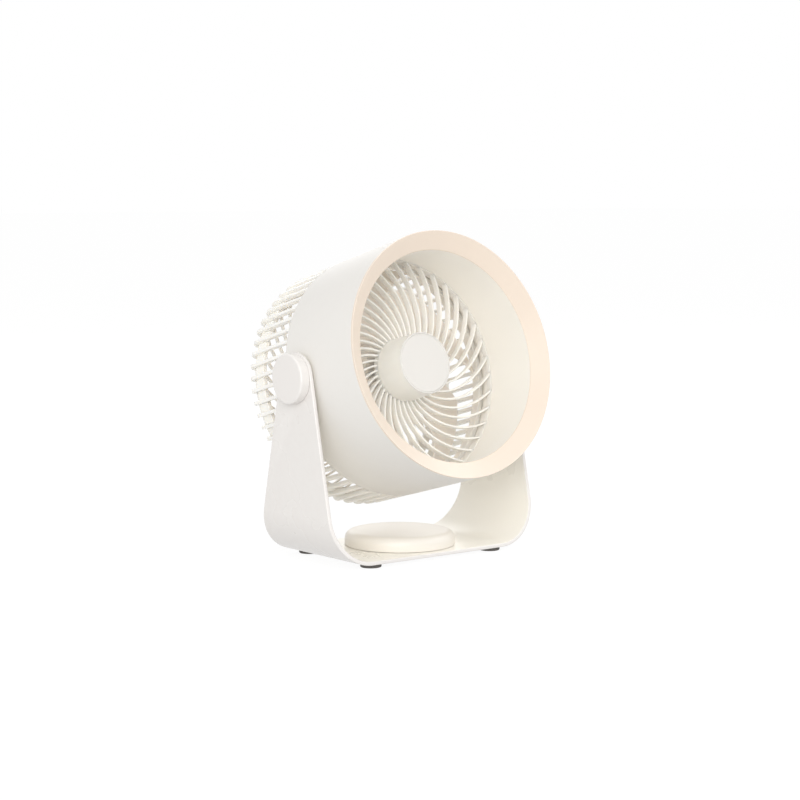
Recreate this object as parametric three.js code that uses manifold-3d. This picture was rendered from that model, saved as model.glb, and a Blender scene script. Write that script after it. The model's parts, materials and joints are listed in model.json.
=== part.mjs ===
// Air circulator fan: a drum head with spiral grilles, tilting in a U-shaped stand.
// Millimetres, +Z up, front towards -Y, origin on the floor under the middle of the stand.
import * as THREE from "three";
import { mergeVertices } from "three/addons/utils/BufferGeometryUtils.js";
import Module from "manifold-3d";

const wasm = await Module();
wasm.setup();

const radians = THREE.MathUtils.degToRad;
const lerp = THREE.MathUtils.lerp;

// ---- Driving dimensions ----

const GAP = 0.3; // between pieces that touch

// Stand
const STAND_WIDTH = 211;
const BASE_DEPTH = 105;
const CORNER_RADIUS = 38;
const STRIP = 3.25; // thickness of the bent strip
const ARM_TOP_RADIUS = 20.4;
const FOOT_HEIGHT = 3;
const FOOT_RADIUS = 8.5;
const FOOT_X = 62;
const FOOT_Y = 41;
const PAD_RADIUS = 45.3;
const PAD_TOP = 18;
const PAD_EDGE = 4; // rounding of the pad's top edge
const PAD_WALL = 2;
const PAD_SCREWS = 36; // radius of the circle that the pad's four screws stand on

// Pivot, as distances from the middle of the fan
const PIVOT_HEIGHT = 148.8;
const TILT = radians(15.2); // how far the head looks up at rest
const CAP_RADIUS = 20;
const CAP_HEIGHT = 8.2;
const BUSH_BORE = 4.5;
const DRUM_PAD_FACE = 100.4;
const ARM_INSIDE = STAND_WIDTH / 2 - STRIP;
const ARM_OUTSIDE = STAND_WIDTH / 2;

// Head, as radii and as depths behind the plane of the front rim
const RIM_AHEAD = 72.5; // from the pivot forward to the rim plane
const DRUM_RADIUS = 100;
const DRUM_INSIDE = 97.4;
const DRUM_FRONT = 2.4; // the drum's front edge, behind the bezel's lip
const DRUM_LENGTH = 90.8;
const LEDGE_RADIUS = 92.6; // the ledge in the drum that the guard rests on
const LIP_RADIUS = 85.8; // inner edge of the conical lip
const LIP_DEPTH = 9.1;
const NOZZLE_RADIUS = 92.6; // where the nozzle meets the guard
const BEZEL_WALL = 2;
const BEZEL_RADIUS = DRUM_INSIDE - GAP;

const GUARD_FRONT = 67.7;
const GUARD_BACK = 73.3;
const GUARD_RIBS = 40;
const GUARD_RIB = 1.7; // thickness of a rib
const GUARD_TWIST = 0.64; // degrees that a rib turns for each millimetre outwards
const FIRST_ANGLE = 4.5; // of the first rib's tip and the first bar, from the head's +X towards its top
const HUB_RADIUS = 26.1;
const HUB_FRONT = 38.2;

const CAGE_BARS = 60;
const CAGE_BAR = 3; // width of a bar along the drum's circumference
const CAGE_OUTSIDE = 99.8;
const CAGE_INSIDE = 96.2;
const HOOP_FRONT = 128; // the rear hoop inside the bars
const HOOP_BACK = 139;
const BACK_DEPTH = 146.5; // outer face of the rear grille
const BACK_CORNER = 6.8; // rounding of the bars' ends
const BACK_RADIUS = 92.2; // outside of the rear grille's rim
const BACK_THICKNESS = 3.4;
const BACK_RIBS = 40;
const BACK_RIB = 1.9;
const BACK_TWIST = -0.72; // degrees for each millimetre outwards, against the guard's turn
const GRILLE_SCREWS = 89.2; // radius of the circle that the grille's three screws stand on

// Motor pot in the middle of the rear grille, and what it holds
const POT_RADIUS = 38;
const POT_FRONT = 122;
const PARTITION = 134; // front face of the wall that carries the motor
const PARTITION_WALL = 2.5;
const BOARD_DEPTH = 140;
const BOARD = 1.4;
const COVER_DEPTH = BACK_DEPTH + 0.4;
const COVER_WALL = 2;
const BUTTON_Y = 9; // above the fan's axis
const LIGHT_Y = -3.5;
const INLET_Y = -14;
const MOTOR_SCREWS = 11;
const SHAFT_RADIUS = 2;

// Impeller
const BLADES = 5;
const BLADE_TIP = 88;
const BLADE_DEPTH = 98; // middle of the blades
const BLADE_WRAP = 62; // degrees round the axis from a blade's front edge to its rear edge
const BLADE_SWEEP = 24; // degrees that its tip lies behind its root
const FIRST_BLADE = 50; // degrees from the head's +X to the middle of the first blade's root
const ROOT_CHORD = 30; // measured along the axis, as is the tip's
const TIP_CHORD = 28;
const IMPELLER_RADIUS = 31;
const IMPELLER_FRONT = 80;
const IMPELLER_BACK = 118;

// Facets round a full turn
const LARGE = 48;
const MEDIUM = 28;
const SMALL = 16;
const TINY = 8;

// ---- Shape helpers ----

// A closed geometry as a solid that can be joined and cut.
function solidOf(geometry) {
  const bare = geometry.clone();
  bare.deleteAttribute("normal");
  bare.deleteAttribute("uv");
  const merged = mergeVertices(bare, 1e-4);
  const mesh = new wasm.Mesh({
    numProp: 3,
    vertProperties: merged.attributes.position.array,
    triVerts: new Uint32Array(merged.index.array),
  });
  return new wasm.Manifold(mesh);
}

function geometryOf(solid) {
  const mesh = solid.getMesh();
  const geometry = new THREE.BufferGeometry();
  geometry.setAttribute("position", new THREE.BufferAttribute(mesh.vertProperties, 3));
  geometry.setIndex(new THREE.BufferAttribute(mesh.triVerts, 1));
  geometry.computeVertexNormals();
  return geometry;
}

function joined(geometries) {
  return geometryOf(geometries.map(solidOf).reduce((sum, solid) => sum.add(solid)));
}

function cutBy(body, tools) {
  return geometryOf(tools.map(solidOf).reduce((rest, tool) => rest.subtract(tool), solidOf(body)));
}

function common(first, second) {
  return geometryOf(solidOf(first).intersect(solidOf(second)));
}

// Revolves [radius, height] points about Z. A ring's profile runs anticlockwise and is closed here.
function revolved(profile, facets, turn = 0) {
  const points = profile.map(([radius, height]) => new THREE.Vector2(radius, height));
  if (profile[0][0] > 0) points.push(points[0].clone());
  const geometry = new THREE.LatheGeometry(points, facets);
  geometry.rotateX(Math.PI / 2);
  return geometry.rotateZ(turn);
}

function ring(inner, outer, low, high, facets, turn = 0) {
  return revolved([[inner, low], [outer, low], [outer, high], [inner, high]], facets, turn);
}

function disc(radius, low, high, facets) {
  return revolved([[0, low], [radius, low], [radius, high], [0, high]], facets);
}

function box(width, depth, height, x, y, z) {
  return new THREE.BoxGeometry(width, depth, height).translate(x, y, z);
}

function extruded(shape, depth, curveSegments = 8) {
  return new THREE.ExtrudeGeometry(shape, { depth, bevelEnabled: false, curveSegments });
}

// Points of a quarter round from straight up the wall to flat on top, centred at [x, y].
function quarterRound(x, y, radius, steps) {
  return Array.from({ length: steps + 1 }, (_, i) => {
    const angle = (i / steps) * (Math.PI / 2);
    return [x + radius * Math.cos(angle), y + radius * Math.sin(angle)];
  });
}

// A flat slot with round ends.
function slotOutline(width, height) {
  const radius = height / 2;
  const reach = width / 2 - radius;
  const outline = new THREE.Shape();
  outline.absarc(reach, 0, radius, -Math.PI / 2, Math.PI / 2);
  outline.absarc(-reach, 0, radius, Math.PI / 2, 1.5 * Math.PI);
  outline.closePath();
  return outline;
}

// Turns a shape that was drawn about Z so that its +Z points along +X (side 1) or -X (side -1).
function alongX(geometry, side) {
  return geometry.rotateY(side * (Math.PI / 2));
}

// Points on a circle, as [x, y].
function roundAbout(radius, degrees) {
  return degrees.map((angle) => [radius * Math.cos(radians(angle)), radius * Math.sin(radians(angle))]);
}

// Joins a shape with equally turned copies of a second one.
function withCopies(body, piece, count) {
  const copies = Array.from({ length: count }, (_, i) => piece.clone().rotateZ((i * 2 * Math.PI) / count));
  return joined([body, ...copies]);
}

// Inside the head, Z runs forward along the fan's axis from the pivot, and Y up.
const station = (depth) => RIM_AHEAD - depth;
const atDepths = (profile) => profile.map(([radius, depth]) => [radius, station(depth)]);

// ---- Stand ----

// The bent strip: its U outline carried back, trimmed to tapering arms with round tops.
function standBracket() {
  const strip = extruded(stripOutline(), BASE_DEPTH, 8);
  strip.rotateX(Math.PI / 2);
  strip.translate(0, BASE_DEPTH / 2, 0);

  const lean = Math.atan((BASE_DEPTH / 2 - ARM_TOP_RADIUS) / PIVOT_HEIGHT);
  const side = new THREE.Shape();
  side.moveTo(-BASE_DEPTH / 2, 0);
  side.lineTo(BASE_DEPTH / 2, 0);
  side.absarc(0, PIVOT_HEIGHT, ARM_TOP_RADIUS, lean, Math.PI - lean);
  const arms = extruded(side, STAND_WIDTH + 2, 14);
  const acrossX = new THREE.Matrix4().makeBasis(
    new THREE.Vector3(0, 1, 0),
    new THREE.Vector3(0, 0, 1),
    new THREE.Vector3(1, 0, 0),
  );
  arms.applyMatrix4(acrossX);
  arms.translate(-STAND_WIDTH / 2 - 1, 0, 0);

  const pivotHole = alongX(disc(7, -STAND_WIDTH, STAND_WIDTH, SMALL), 1).translate(0, 0, PIVOT_HEIGHT);
  const bores = padScrewPlaces().map(([x, y]) => disc(1.9, 0, PAD_TOP, TINY).translate(x, y, 0));
  const sinks = padScrewPlaces().map(([x, y]) => disc(3.5, 0, FOOT_HEIGHT + 1.9, TINY).translate(x, y, 0));
  return cutBy(common(strip, arms), [pivotHole, ...bores, ...sinks]);
}

// The strip seen from the front, as a U with rounded lower corners.
function stripOutline() {
  const half = STAND_WIDTH / 2;
  const top = PIVOT_HEIGHT + ARM_TOP_RADIUS + 1;
  const bend = half - CORNER_RADIUS;
  const bendHeight = FOOT_HEIGHT + CORNER_RADIUS;
  const inner = CORNER_RADIUS - STRIP;
  const outline = new THREE.Shape();
  outline.moveTo(-half, top);
  outline.lineTo(-half, bendHeight);
  outline.absarc(-bend, bendHeight, CORNER_RADIUS, Math.PI, 1.5 * Math.PI);
  outline.absarc(bend, bendHeight, CORNER_RADIUS, 1.5 * Math.PI, 2 * Math.PI);
  outline.lineTo(half, top);
  outline.lineTo(half - STRIP, top);
  outline.absarc(bend, bendHeight, inner, 0, -0.5 * Math.PI, true);
  outline.absarc(-bend, bendHeight, inner, 1.5 * Math.PI, Math.PI, true);
  outline.lineTo(-half + STRIP, top);
  return outline;
}

const padScrewPlaces = () => roundAbout(PAD_SCREWS, [45, 135, 225, 315]);

// The round cover on the base, open below, with four bosses for its screws.
function padCover() {
  const low = FOOT_HEIGHT + STRIP + GAP;
  const inside = PAD_RADIUS - PAD_WALL;
  const under = PAD_TOP - PAD_WALL;
  const shell = revolved(
    [
      [inside, low],
      [PAD_RADIUS, low],
      ...quarterRound(PAD_RADIUS - PAD_EDGE, PAD_TOP - PAD_EDGE, PAD_EDGE, 3),
      [0, PAD_TOP],
      [0, under],
      [inside - PAD_WALL, under],
      [inside, under - PAD_WALL],
      [inside, low],
    ].slice(1),
    36,
  );
  const bosses = padScrewPlaces().map(([x, y]) =>
    ring(1.7, 3.8, low, under + 0.5, TINY).translate(x, y, 0),
  );
  return joined([shell, ...bosses]);
}

// The steel ballast under the pad, notched where the bosses stand.
function padWeight() {
  const low = FOOT_HEIGHT + STRIP + GAP;
  const plate = disc(40, low, PAD_TOP - PAD_WALL - 1.5, MEDIUM);
  const notches = padScrewPlaces().map(([x, y]) => disc(4.6, 0, PAD_TOP, TINY).translate(x, y, 0));
  return cutBy(plate, notches);
}

// A pan-head screw, driven up into one of the pad's bosses.
function padScrew() {
  const head = FOOT_HEIGHT + 0.3;
  const neck = FOOT_HEIGHT + 1.6;
  return revolved([[0, head], [3, head], [3, neck], [1.4, neck], [1.4, 14.4], [0, 14.4]], TINY);
}

// A rubber foot with a bevelled lower edge, seated against the base's underside.
function foot() {
  const high = FOOT_HEIGHT - GAP;
  return revolved([[0, 0], [FOOT_RADIUS - 1, 0], [FOOT_RADIUS, 1], [FOOT_RADIUS, high], [0, high]], SMALL);
}

// ---- Pivot, drawn about the tilt axis with +Z outwards ----

// The round puck on the arm, hollow for the pivot screw's head.
function pivotCap() {
  const low = ARM_OUTSIDE + GAP;
  const high = ARM_OUTSIDE + CAP_HEIGHT;
  const edge = 1.8;
  return revolved(
    [
      [CAP_RADIUS, low],
      ...quarterRound(CAP_RADIUS - edge, high - edge, edge, 2),
      [0, high],
      [0, high - 2],
      [11, high - 2],
      [11, low],
    ],
    MEDIUM,
  );
}

// A flanged bush: its sleeve lines the arm's hole and its flange spaces the head from the arm.
function pivotBush() {
  const face = DRUM_PAD_FACE + GAP;
  return revolved(
    [
      [BUSH_BORE, face],
      [14, face],
      [14, ARM_INSIDE - GAP],
      [6.5, ARM_INSIDE - GAP],
      [6.5, ARM_OUTSIDE],
      [BUSH_BORE, ARM_OUTSIDE],
    ],
    SMALL,
  );
}

// A dished spring washer under the pivot screw's head.
function tensionWasher() {
  const low = ARM_OUTSIDE + GAP;
  return revolved([[BUSH_BORE, low], [9.4, low + 0.5], [9.4, low + 1.1], [BUSH_BORE, low + 0.6]], SMALL);
}

// The shoulder screw that turns with the head.
function pivotScrew() {
  const head = ARM_OUTSIDE + 2;
  const shoulder = BUSH_BORE - 0.4;
  const screw = revolved(
    [
      [0, 94.5],
      [2.6, 94.5],
      [2.6, DRUM_PAD_FACE],
      [shoulder, DRUM_PAD_FACE + GAP],
      [shoulder, head],
      [8, head],
      [8, head + 2.6],
      [0, head + 2.6],
    ],
    12,
  );
  return cutBy(screw, [box(9, 1.4, 3, 0, 0, head + 2.8)]);
}

// ---- Head: casings ----

// The smooth skin: a tube with an inner ledge for the guard, and two pads for the pivots.
function drumHousing() {
  const skin = revolved(
    atDepths([
      [DRUM_INSIDE, DRUM_LENGTH],
      [DRUM_RADIUS, DRUM_LENGTH],
      [DRUM_RADIUS, DRUM_FRONT],
      [DRUM_INSIDE, DRUM_FRONT],
      [DRUM_INSIDE, GUARD_BACK + GAP],
      [LEDGE_RADIUS, GUARD_BACK + GAP],
      [LEDGE_RADIUS, GUARD_BACK + 3],
      [DRUM_INSIDE, GUARD_BACK + 6],
    ]),
    LARGE,
  );
  const hollow = disc(DRUM_INSIDE + 1, station(DRUM_LENGTH), station(0), LARGE);
  const pads = [1, -1].map((side) => cutBy(alongX(disc(13, 90, DRUM_PAD_FACE, 20), side), [hollow]));
  const bosses = [1, -1].map((side) => alongX(disc(6.4, 94, 98, SMALL), side));
  const bores = [1, -1].map((side) => alongX(disc(2.9, 90, 110, TINY), side));
  return cutBy(joined([skin, ...pads, ...bosses]), bores);
}

// The conical lip, which caps the drum's front edge, and the nozzle behind it, one moulding.
function frontBezel() {
  const end = GUARD_FRONT - GAP;
  const moulding = revolved(
    atDepths([
      [NOZZLE_RADIUS, end],
      [BEZEL_RADIUS, end],
      [BEZEL_RADIUS, end - 2.5],
      [NOZZLE_RADIUS + BEZEL_WALL, end - 3.5],
      [LIP_RADIUS + BEZEL_WALL + 0.8, LIP_DEPTH + 3],
      [BEZEL_RADIUS, DRUM_FRONT + 2],
      [BEZEL_RADIUS, DRUM_FRONT - GAP],
      [DRUM_RADIUS, DRUM_FRONT - GAP],
      [DRUM_RADIUS, 0.8],
      [DRUM_RADIUS - 0.9, 0.1],
      [LIP_RADIUS + 0.7, LIP_DEPTH - 0.4],
      [LIP_RADIUS, LIP_DEPTH + 0.9],
    ]),
    LARGE,
  );
  return cutBy(moulding, pivotNotches());
}

// Room for the drum's pivot bosses in the rings that pass them.
function pivotNotches() {
  return [1, -1].map((side) => alongX(disc(7.2, 93.5, 99, SMALL), side));
}

// ---- Head: spiral grilles ----

// The angle at a radius of a rib that turns steadily on its way out.
const spiralAngle = (grille, rib, radius) =>
  radians(FIRST_ANGLE + (rib * 360) / grille.ribs + grille.twist * (radius - grille.outer));

// One edge of a spiral rib, from its inner to its outer end. Thickness is square to the rib's curve.
function ribEdge(grille, rib, side) {
  return Array.from({ length: grille.steps + 1 }, (_, i) => {
    const radius = lerp(grille.inner, grille.outer, i / grille.steps);
    const half = (grille.rib / 2) * Math.hypot(1, radius * radians(grille.twist));
    const angle = spiralAngle(grille, rib, radius) + (side * half) / radius;
    return new THREE.Vector2(radius * Math.cos(angle), radius * Math.sin(angle));
  });
}

// A flat plate with a rim, a hub ring and a spiral of slots, standing on Z = 0.
function spiralPlate(grille) {
  const plate = new THREE.Shape(circlePoints(grille.rim, grille.ribs));
  plate.holes.push(new THREE.Path(circlePoints(grille.hub, grille.ribs)));
  for (let rib = 0; rib < grille.ribs; rib += 1) {
    const near = ribEdge(grille, rib, 1);
    const far = ribEdge(grille, rib + 1, -1).reverse();
    plate.holes.push(new THREE.Path([...near, ...far]));
  }
  return extruded(plate, grille.thickness);
}

function circlePoints(radius, count) {
  return roundAbout(
    radius,
    Array.from({ length: count }, (_, i) => FIRST_ANGLE + (i * 360) / count),
  ).map(([x, y]) => new THREE.Vector2(x, y));
}

// The guard in front of the impeller.
function frontGuard() {
  const plate = spiralPlate({
    ribs: GUARD_RIBS,
    rib: GUARD_RIB,
    twist: GUARD_TWIST,
    inner: HUB_RADIUS - 0.6,
    outer: NOZZLE_RADIUS - 0.3,
    rim: BEZEL_RADIUS - 0.2,
    hub: HUB_RADIUS - 4,
    thickness: GUARD_BACK - GUARD_FRONT,
    steps: 4,
  });
  plate.translate(0, 0, station(GUARD_BACK));
  return cutBy(plate, pivotNotches());
}

// The cylinder in front of the guard, with a slight draft and a rounded front edge.
function hubShroud() {
  const front = HUB_RADIUS - 0.8;
  const back = GUARD_FRONT - GAP;
  return revolved(
    atDepths([
      [HUB_RADIUS - 2.2, back],
      [HUB_RADIUS, back],
      [front, HUB_FRONT + 0.6],
      [front - 0.5, HUB_FRONT],
      [front - 1.3, HUB_FRONT + 0.3],
      [front - 1.3, HUB_FRONT + 2.6],
      [front - 3, HUB_FRONT + 2.6],
      [front - 3, HUB_FRONT + 4],
    ]),
    MEDIUM,
  );
}

function hubCap() {
  const radius = HUB_RADIUS - 2.4;
  return revolved(
    atDepths([
      [0, HUB_FRONT + 2.3],
      [radius, HUB_FRONT + 2.3],
      [radius, HUB_FRONT + 0.5],
      [radius - 0.4, HUB_FRONT + 0.1],
      [0, HUB_FRONT + 0.1],
    ]),
    MEDIUM,
  );
}

// A bar of the rear cage: straight along the drum's side, then hooked round the rear corner.
function cageBar() {
  const corner = station(BACK_DEPTH - BACK_CORNER);
  const back = station(BACK_DEPTH);
  const round = quarterRound(CAGE_OUTSIDE - BACK_CORNER, -corner, BACK_CORNER, 2);
  const points = [
    [CAGE_INSIDE, station(DRUM_LENGTH + GAP)],
    [CAGE_INSIDE, corner],
    [BACK_RADIUS + 0.4, back + BACK_THICKNESS],
    [BACK_RADIUS + 0.4, back],
    ...round.map(([radius, height]) => [radius, -height]).reverse(),
    [CAGE_OUTSIDE, station(DRUM_LENGTH + GAP)],
  ];
  const outline = new THREE.Shape(points.map(([radius, height]) => new THREE.Vector2(radius, height)));
  const bar = extruded(outline, CAGE_BAR);
  bar.rotateX(Math.PI / 2);
  bar.translate(0, CAGE_BAR / 2, 0);
  return bar.rotateZ(radians(FIRST_ANGLE));
}

// The side of the head behind the drum: bars on a front hoop and a rear hoop with screw bosses.
function rearCage() {
  const turn = radians(FIRST_ANGLE + 180 / CAGE_BARS);
  const overlap = 0.8;
  const frontHoop = ring(92.8, CAGE_INSIDE + overlap, station(DRUM_LENGTH + 1.5), station(84), CAGE_BARS, turn);
  const rearHoop = ring(92.8, CAGE_INSIDE + 0.3, station(HOOP_BACK), station(HOOP_FRONT), CAGE_BARS, turn);
  const bossBack = station(BACK_DEPTH - BACK_THICKNESS - GAP);
  const bosses = grilleScrewPlaces().map(([x, y]) =>
    disc(3.8, bossBack, station(HOOP_FRONT + 2), TINY).translate(x, y, 0),
  );
  const bores = grilleScrewPlaces().map(([x, y]) => disc(1.4, bossBack - 1, station(132), TINY).translate(x, y, 0));
  const cage = withCopies(joined([frontHoop, rearHoop, ...bosses]), cageBar(), CAGE_BARS);
  return cutBy(cage, bores);
}

const grilleScrewPlaces = () => roundAbout(GRILLE_SCREWS, [90, 210, 330]);
const motorScrewPlaces = () => roundAbout(MOTOR_SCREWS, [90, 210, 330]);

// The rear face: a spiral plate round the pot that holds the motor in front of a partition.
function rearGrille() {
  const plate = spiralPlate({
    ribs: BACK_RIBS,
    rib: BACK_RIB,
    twist: BACK_TWIST,
    inner: POT_RADIUS - 0.4,
    outer: GRILLE_SCREWS - 3.4,
    rim: BACK_RADIUS,
    hub: POT_RADIUS - 1.2,
    thickness: BACK_THICKNESS,
    steps: 3,
  });
  plate.translate(0, 0, station(BACK_DEPTH));
  const inside = POT_RADIUS - 2;
  const pot = revolved(
    atDepths([
      [0, PARTITION + PARTITION_WALL],
      [inside - 3, PARTITION + PARTITION_WALL],
      [inside - 3, BOARD_DEPTH - GAP],
      [inside, BOARD_DEPTH - GAP],
      [inside, BACK_DEPTH],
      [POT_RADIUS, BACK_DEPTH],
      [POT_RADIUS, POT_FRONT],
      [inside, POT_FRONT],
      [inside, PARTITION],
      [0, PARTITION],
    ]),
    BACK_RIBS,
    radians(FIRST_ANGLE),
  );
  const through = (radius, [x, y]) => disc(radius, station(150), station(130), TINY).translate(x, y, 0);
  const holes = [
    through(3.2, [0, 0]),
    ...motorScrewPlaces().map((place) => through(1.5, place)),
    ...grilleScrewPlaces().map((place) => through(1.6, place)),
  ];
  const sinks = grilleScrewPlaces().map(([x, y]) =>
    disc(2.6, station(150), station(BACK_DEPTH - 1.6), TINY).translate(x, y, 0),
  );
  return cutBy(joined([plate, pot]), [...holes, ...sinks]);
}

// A screw through the rear grille's rim into the cage, its head let in.
function grilleScrew() {
  const head = BACK_DEPTH - 0.2;
  const neck = BACK_DEPTH - 1.3;
  return revolved(atDepths([[0, head], [2.2, head], [2.2, neck], [1, neck], [1, 133], [0, 133]]), TINY);
}

// ---- Head: motor and controls in the pot ----

// The flange on the partition, with the bearing tube that carries stator and shaft.
function motorBase() {
  const back = PARTITION - GAP;
  const body = revolved(
    atDepths([
      [4.5, back],
      [15, back],
      [15, back - 2.2],
      [5.9, back - 2.2],
      [5.9, 113.5],
      [4.5, 113.5],
    ]),
    SMALL,
  );
  const holes = motorScrewPlaces().map(([x, y]) => disc(1.3, station(140), station(120), TINY).translate(x, y, 0));
  return cutBy(body, holes);
}

// A screw through the partition into the motor's flange.
function motorScrew() {
  const neck = PARTITION + PARTITION_WALL + GAP;
  return revolved(
    atDepths([[0, neck + 2], [2.4, neck + 2], [2.4, neck], [1, neck], [1, 131], [0, 131]]),
    TINY,
  );
}

// A stack of plates with T-shaped poles.
function stator() {
  const poles = 9;
  const poleEdge = [
    [9, 0.17],
    [15, 0.11],
    [15.4, 0.27],
    [18, 0.29],
  ];
  const points = [];
  for (let pole = 0; pole < poles; pole += 1) {
    const middle = (pole * 2 * Math.PI) / poles;
    const at = (radius, angle) =>
      new THREE.Vector2(radius * Math.cos(middle + angle), radius * Math.sin(middle + angle));
    points.push(...poleEdge.map(([radius, angle]) => at(radius, -angle)));
    points.push(...poleEdge.map(([radius, angle]) => at(radius, angle)).reverse());
  }
  const outline = new THREE.Shape(points);
  outline.holes.push(new THREE.Path(circlePoints(6.3, SMALL)));
  return extruded(outline, 9).translate(0, 0, station(127));
}

const bearing = (depth) => ring(SHAFT_RADIUS + GAP, 4.2, station(depth + 3), station(depth), SMALL);

function controlBoard() {
  const board = disc(POT_RADIUS - 2 - GAP, station(BOARD_DEPTH + BOARD), station(BOARD_DEPTH), MEDIUM);
  return cutBy(board, [disc(3.2, station(145), station(135), TINY)]);
}

// The small switch on the board that the button's stem presses.
const tactSwitch = () => box(6, 6, 2.2, 0, BUTTON_Y, station(BOARD_DEPTH + BOARD + GAP + 1.1));

// The inlet's metal shell, a flattened tube open to the back, with its contact tongue.
function powerInlet() {
  const front = BOARD_DEPTH + BOARD + GAP;
  const outside = slotOutline(9, 3.4);
  outside.holes.push(slotOutline(8, 2.4));
  const depth = BACK_DEPTH - front;
  const shell = extruded(outside, depth, 3).translate(0, INLET_Y, station(BACK_DEPTH));
  const back = box(7.4, 2.9, 0.8, 0, INLET_Y, station(front + 0.4));
  const tongue = box(6.2, 0.7, depth - 1, 0, INLET_Y, station(front + depth / 2));
  return joined([shell, back, tongue]);
}

const statusLight = () => disc(1.1, station(COVER_DEPTH), station(142), TINY).translate(0, LIGHT_Y, 0);

// The disc that closes the pot, with openings for button, light and inlet.
function rearCover() {
  const radius = POT_RADIUS - 2 - GAP;
  const skirt = BOARD_DEPTH + BOARD + GAP;
  const plate = revolved(
    atDepths([
      [0, COVER_DEPTH],
      [radius - 0.8, COVER_DEPTH],
      [radius, COVER_DEPTH - 0.8],
      [radius, skirt],
      [radius - COVER_WALL, skirt],
      [radius - COVER_WALL, COVER_DEPTH - COVER_WALL],
      [0, COVER_DEPTH - COVER_WALL],
    ]),
    MEDIUM,
  );
  const buttonHole = disc(7, station(150), station(140), SMALL).translate(0, BUTTON_Y, 0);
  const lightHole = disc(1.4, station(150), station(140), TINY).translate(0, LIGHT_Y, 0);
  const inletHole = extruded(slotOutline(9.8, 4.2), 10, 3).translate(0, INLET_Y, station(152));
  return cutBy(plate, [buttonHole, lightHole, inletHole]);
}

// The button: a cap that stands a little proud, its skirt, and the stem over the switch.
function speedButton() {
  const face = COVER_DEPTH + 1.2;
  const button = revolved(
    atDepths([
      [0, face],
      [5.8, face],
      [6.6, face - 0.8],
      [6.6, 146],
      [5.4, 146],
      [5.4, face - 1.4],
      [1.5, face - 1.4],
      [1.5, 145.4],
      [0, 145.4],
    ]),
    SMALL,
  );
  return button.translate(0, BUTTON_Y, 0);
}

// ---- Spinning parts ----

// The rotor: an open cup round the stator, on the shaft.
function rotorBell() {
  return revolved(
    atDepths([
      [SHAFT_RADIUS + GAP, 112.6],
      [19, 113.2],
      [19, 130],
      [21.5, 130],
      [21.5, 111.5],
      [20, 110],
      [SHAFT_RADIUS + GAP, 110],
    ]),
    20,
  );
}

const motorShaft = () => disc(SHAFT_RADIUS, station(131), station(76), TINY);

// One blade: sections that wrap round the hub, swept back and flattened towards the tip.
function impellerBlade() {
  const rows = 5;
  const columns = 5;
  const thickness = 1.8;
  const front = [];
  const back = [];
  for (let row = 0; row < rows; row += 1) {
    const share = row / (rows - 1);
    const radius = lerp(IMPELLER_RADIUS - 1, BLADE_TIP, share);
    const middle = radians(FIRST_BLADE - BLADE_SWEEP * share * share);
    const chord = lerp(ROOT_CHORD, TIP_CHORD, share);
    for (let column = 0; column < columns; column += 1) {
      const along = column / (columns - 1) - 0.5;
      const camber = 3.5 * (1 - 4 * along * along);
      const half = (Math.abs(along) < 0.5 ? thickness : 0.8) / 2;
      const angle = middle + radians(BLADE_WRAP) * along;
      const z = station(BLADE_DEPTH + chord * along + camber);
      const x = radius * Math.cos(angle);
      const y = radius * Math.sin(angle);
      front.push(new THREE.Vector3(x, y, z + half));
      back.push(new THREE.Vector3(x, y, z - half));
    }
  }
  return plateBetween(front, back, rows, columns);
}

// Closes two grids of points, a front one and a back one, into a curved plate.
function plateBetween(front, back, rows, columns) {
  const index = [];
  const under = front.length;
  const quad = (a, b, c, d) => index.push(a, b, c, a, c, d);
  for (let row = 0; row < rows - 1; row += 1) {
    for (let column = 0; column < columns - 1; column += 1) {
      const a = row * columns + column;
      const b = a + columns;
      quad(a, b, b + 1, a + 1);
      quad(a + under, a + 1 + under, b + 1 + under, b + under);
    }
  }
  for (let column = 0; column < columns - 1; column += 1) {
    const last = (rows - 1) * columns + column;
    quad(column, column + 1, column + 1 + under, column + under);
    quad(last, last + under, last + 1 + under, last + 1);
  }
  for (let row = 0; row < rows - 1; row += 1) {
    const a = row * columns;
    const z = a + columns - 1;
    quad(a, a + under, a + columns + under, a + columns);
    quad(z, z + columns, z + columns + under, z + under);
  }
  const geometry = new THREE.BufferGeometry().setFromPoints([...front, ...back]);
  return geometry.setIndex(index);
}

// A rounded hub cup with swept blades.
function impeller() {
  const bore = SHAFT_RADIUS + GAP;
  const inside = IMPELLER_RADIUS - 2;
  const hub = revolved(
    atDepths([
      [bore, 96],
      [5.5, 96],
      [5.5, IMPELLER_FRONT + 2.6],
      [inside - 3, IMPELLER_FRONT + 2.6],
      [inside, IMPELLER_FRONT + 6],
      [inside, IMPELLER_BACK],
      [IMPELLER_RADIUS, IMPELLER_BACK],
      [IMPELLER_RADIUS, IMPELLER_FRONT + 5],
      [IMPELLER_RADIUS - 1.5, IMPELLER_FRONT + 1.5],
      [IMPELLER_RADIUS - 5, IMPELLER_FRONT],
      [bore, IMPELLER_FRONT],
    ]),
    MEDIUM,
  );
  return withCopies(hub, impellerBlade(), BLADES);
}

// The nut in front of the impeller, with two flats.
function impellerNut() {
  const seat = IMPELLER_FRONT - GAP;
  const bore = SHAFT_RADIUS + GAP;
  const nut = revolved(atDepths([[bore, seat], [6, seat], [6, seat - 2], [4.5, seat - 4], [bore, seat - 4]]), 12);
  return cutBy(nut, [1, -1].map((side) => box(20, 4, 20, 0, side * 6.6, station(IMPELLER_FRONT))));
}

// ---- Assembly ----

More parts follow.
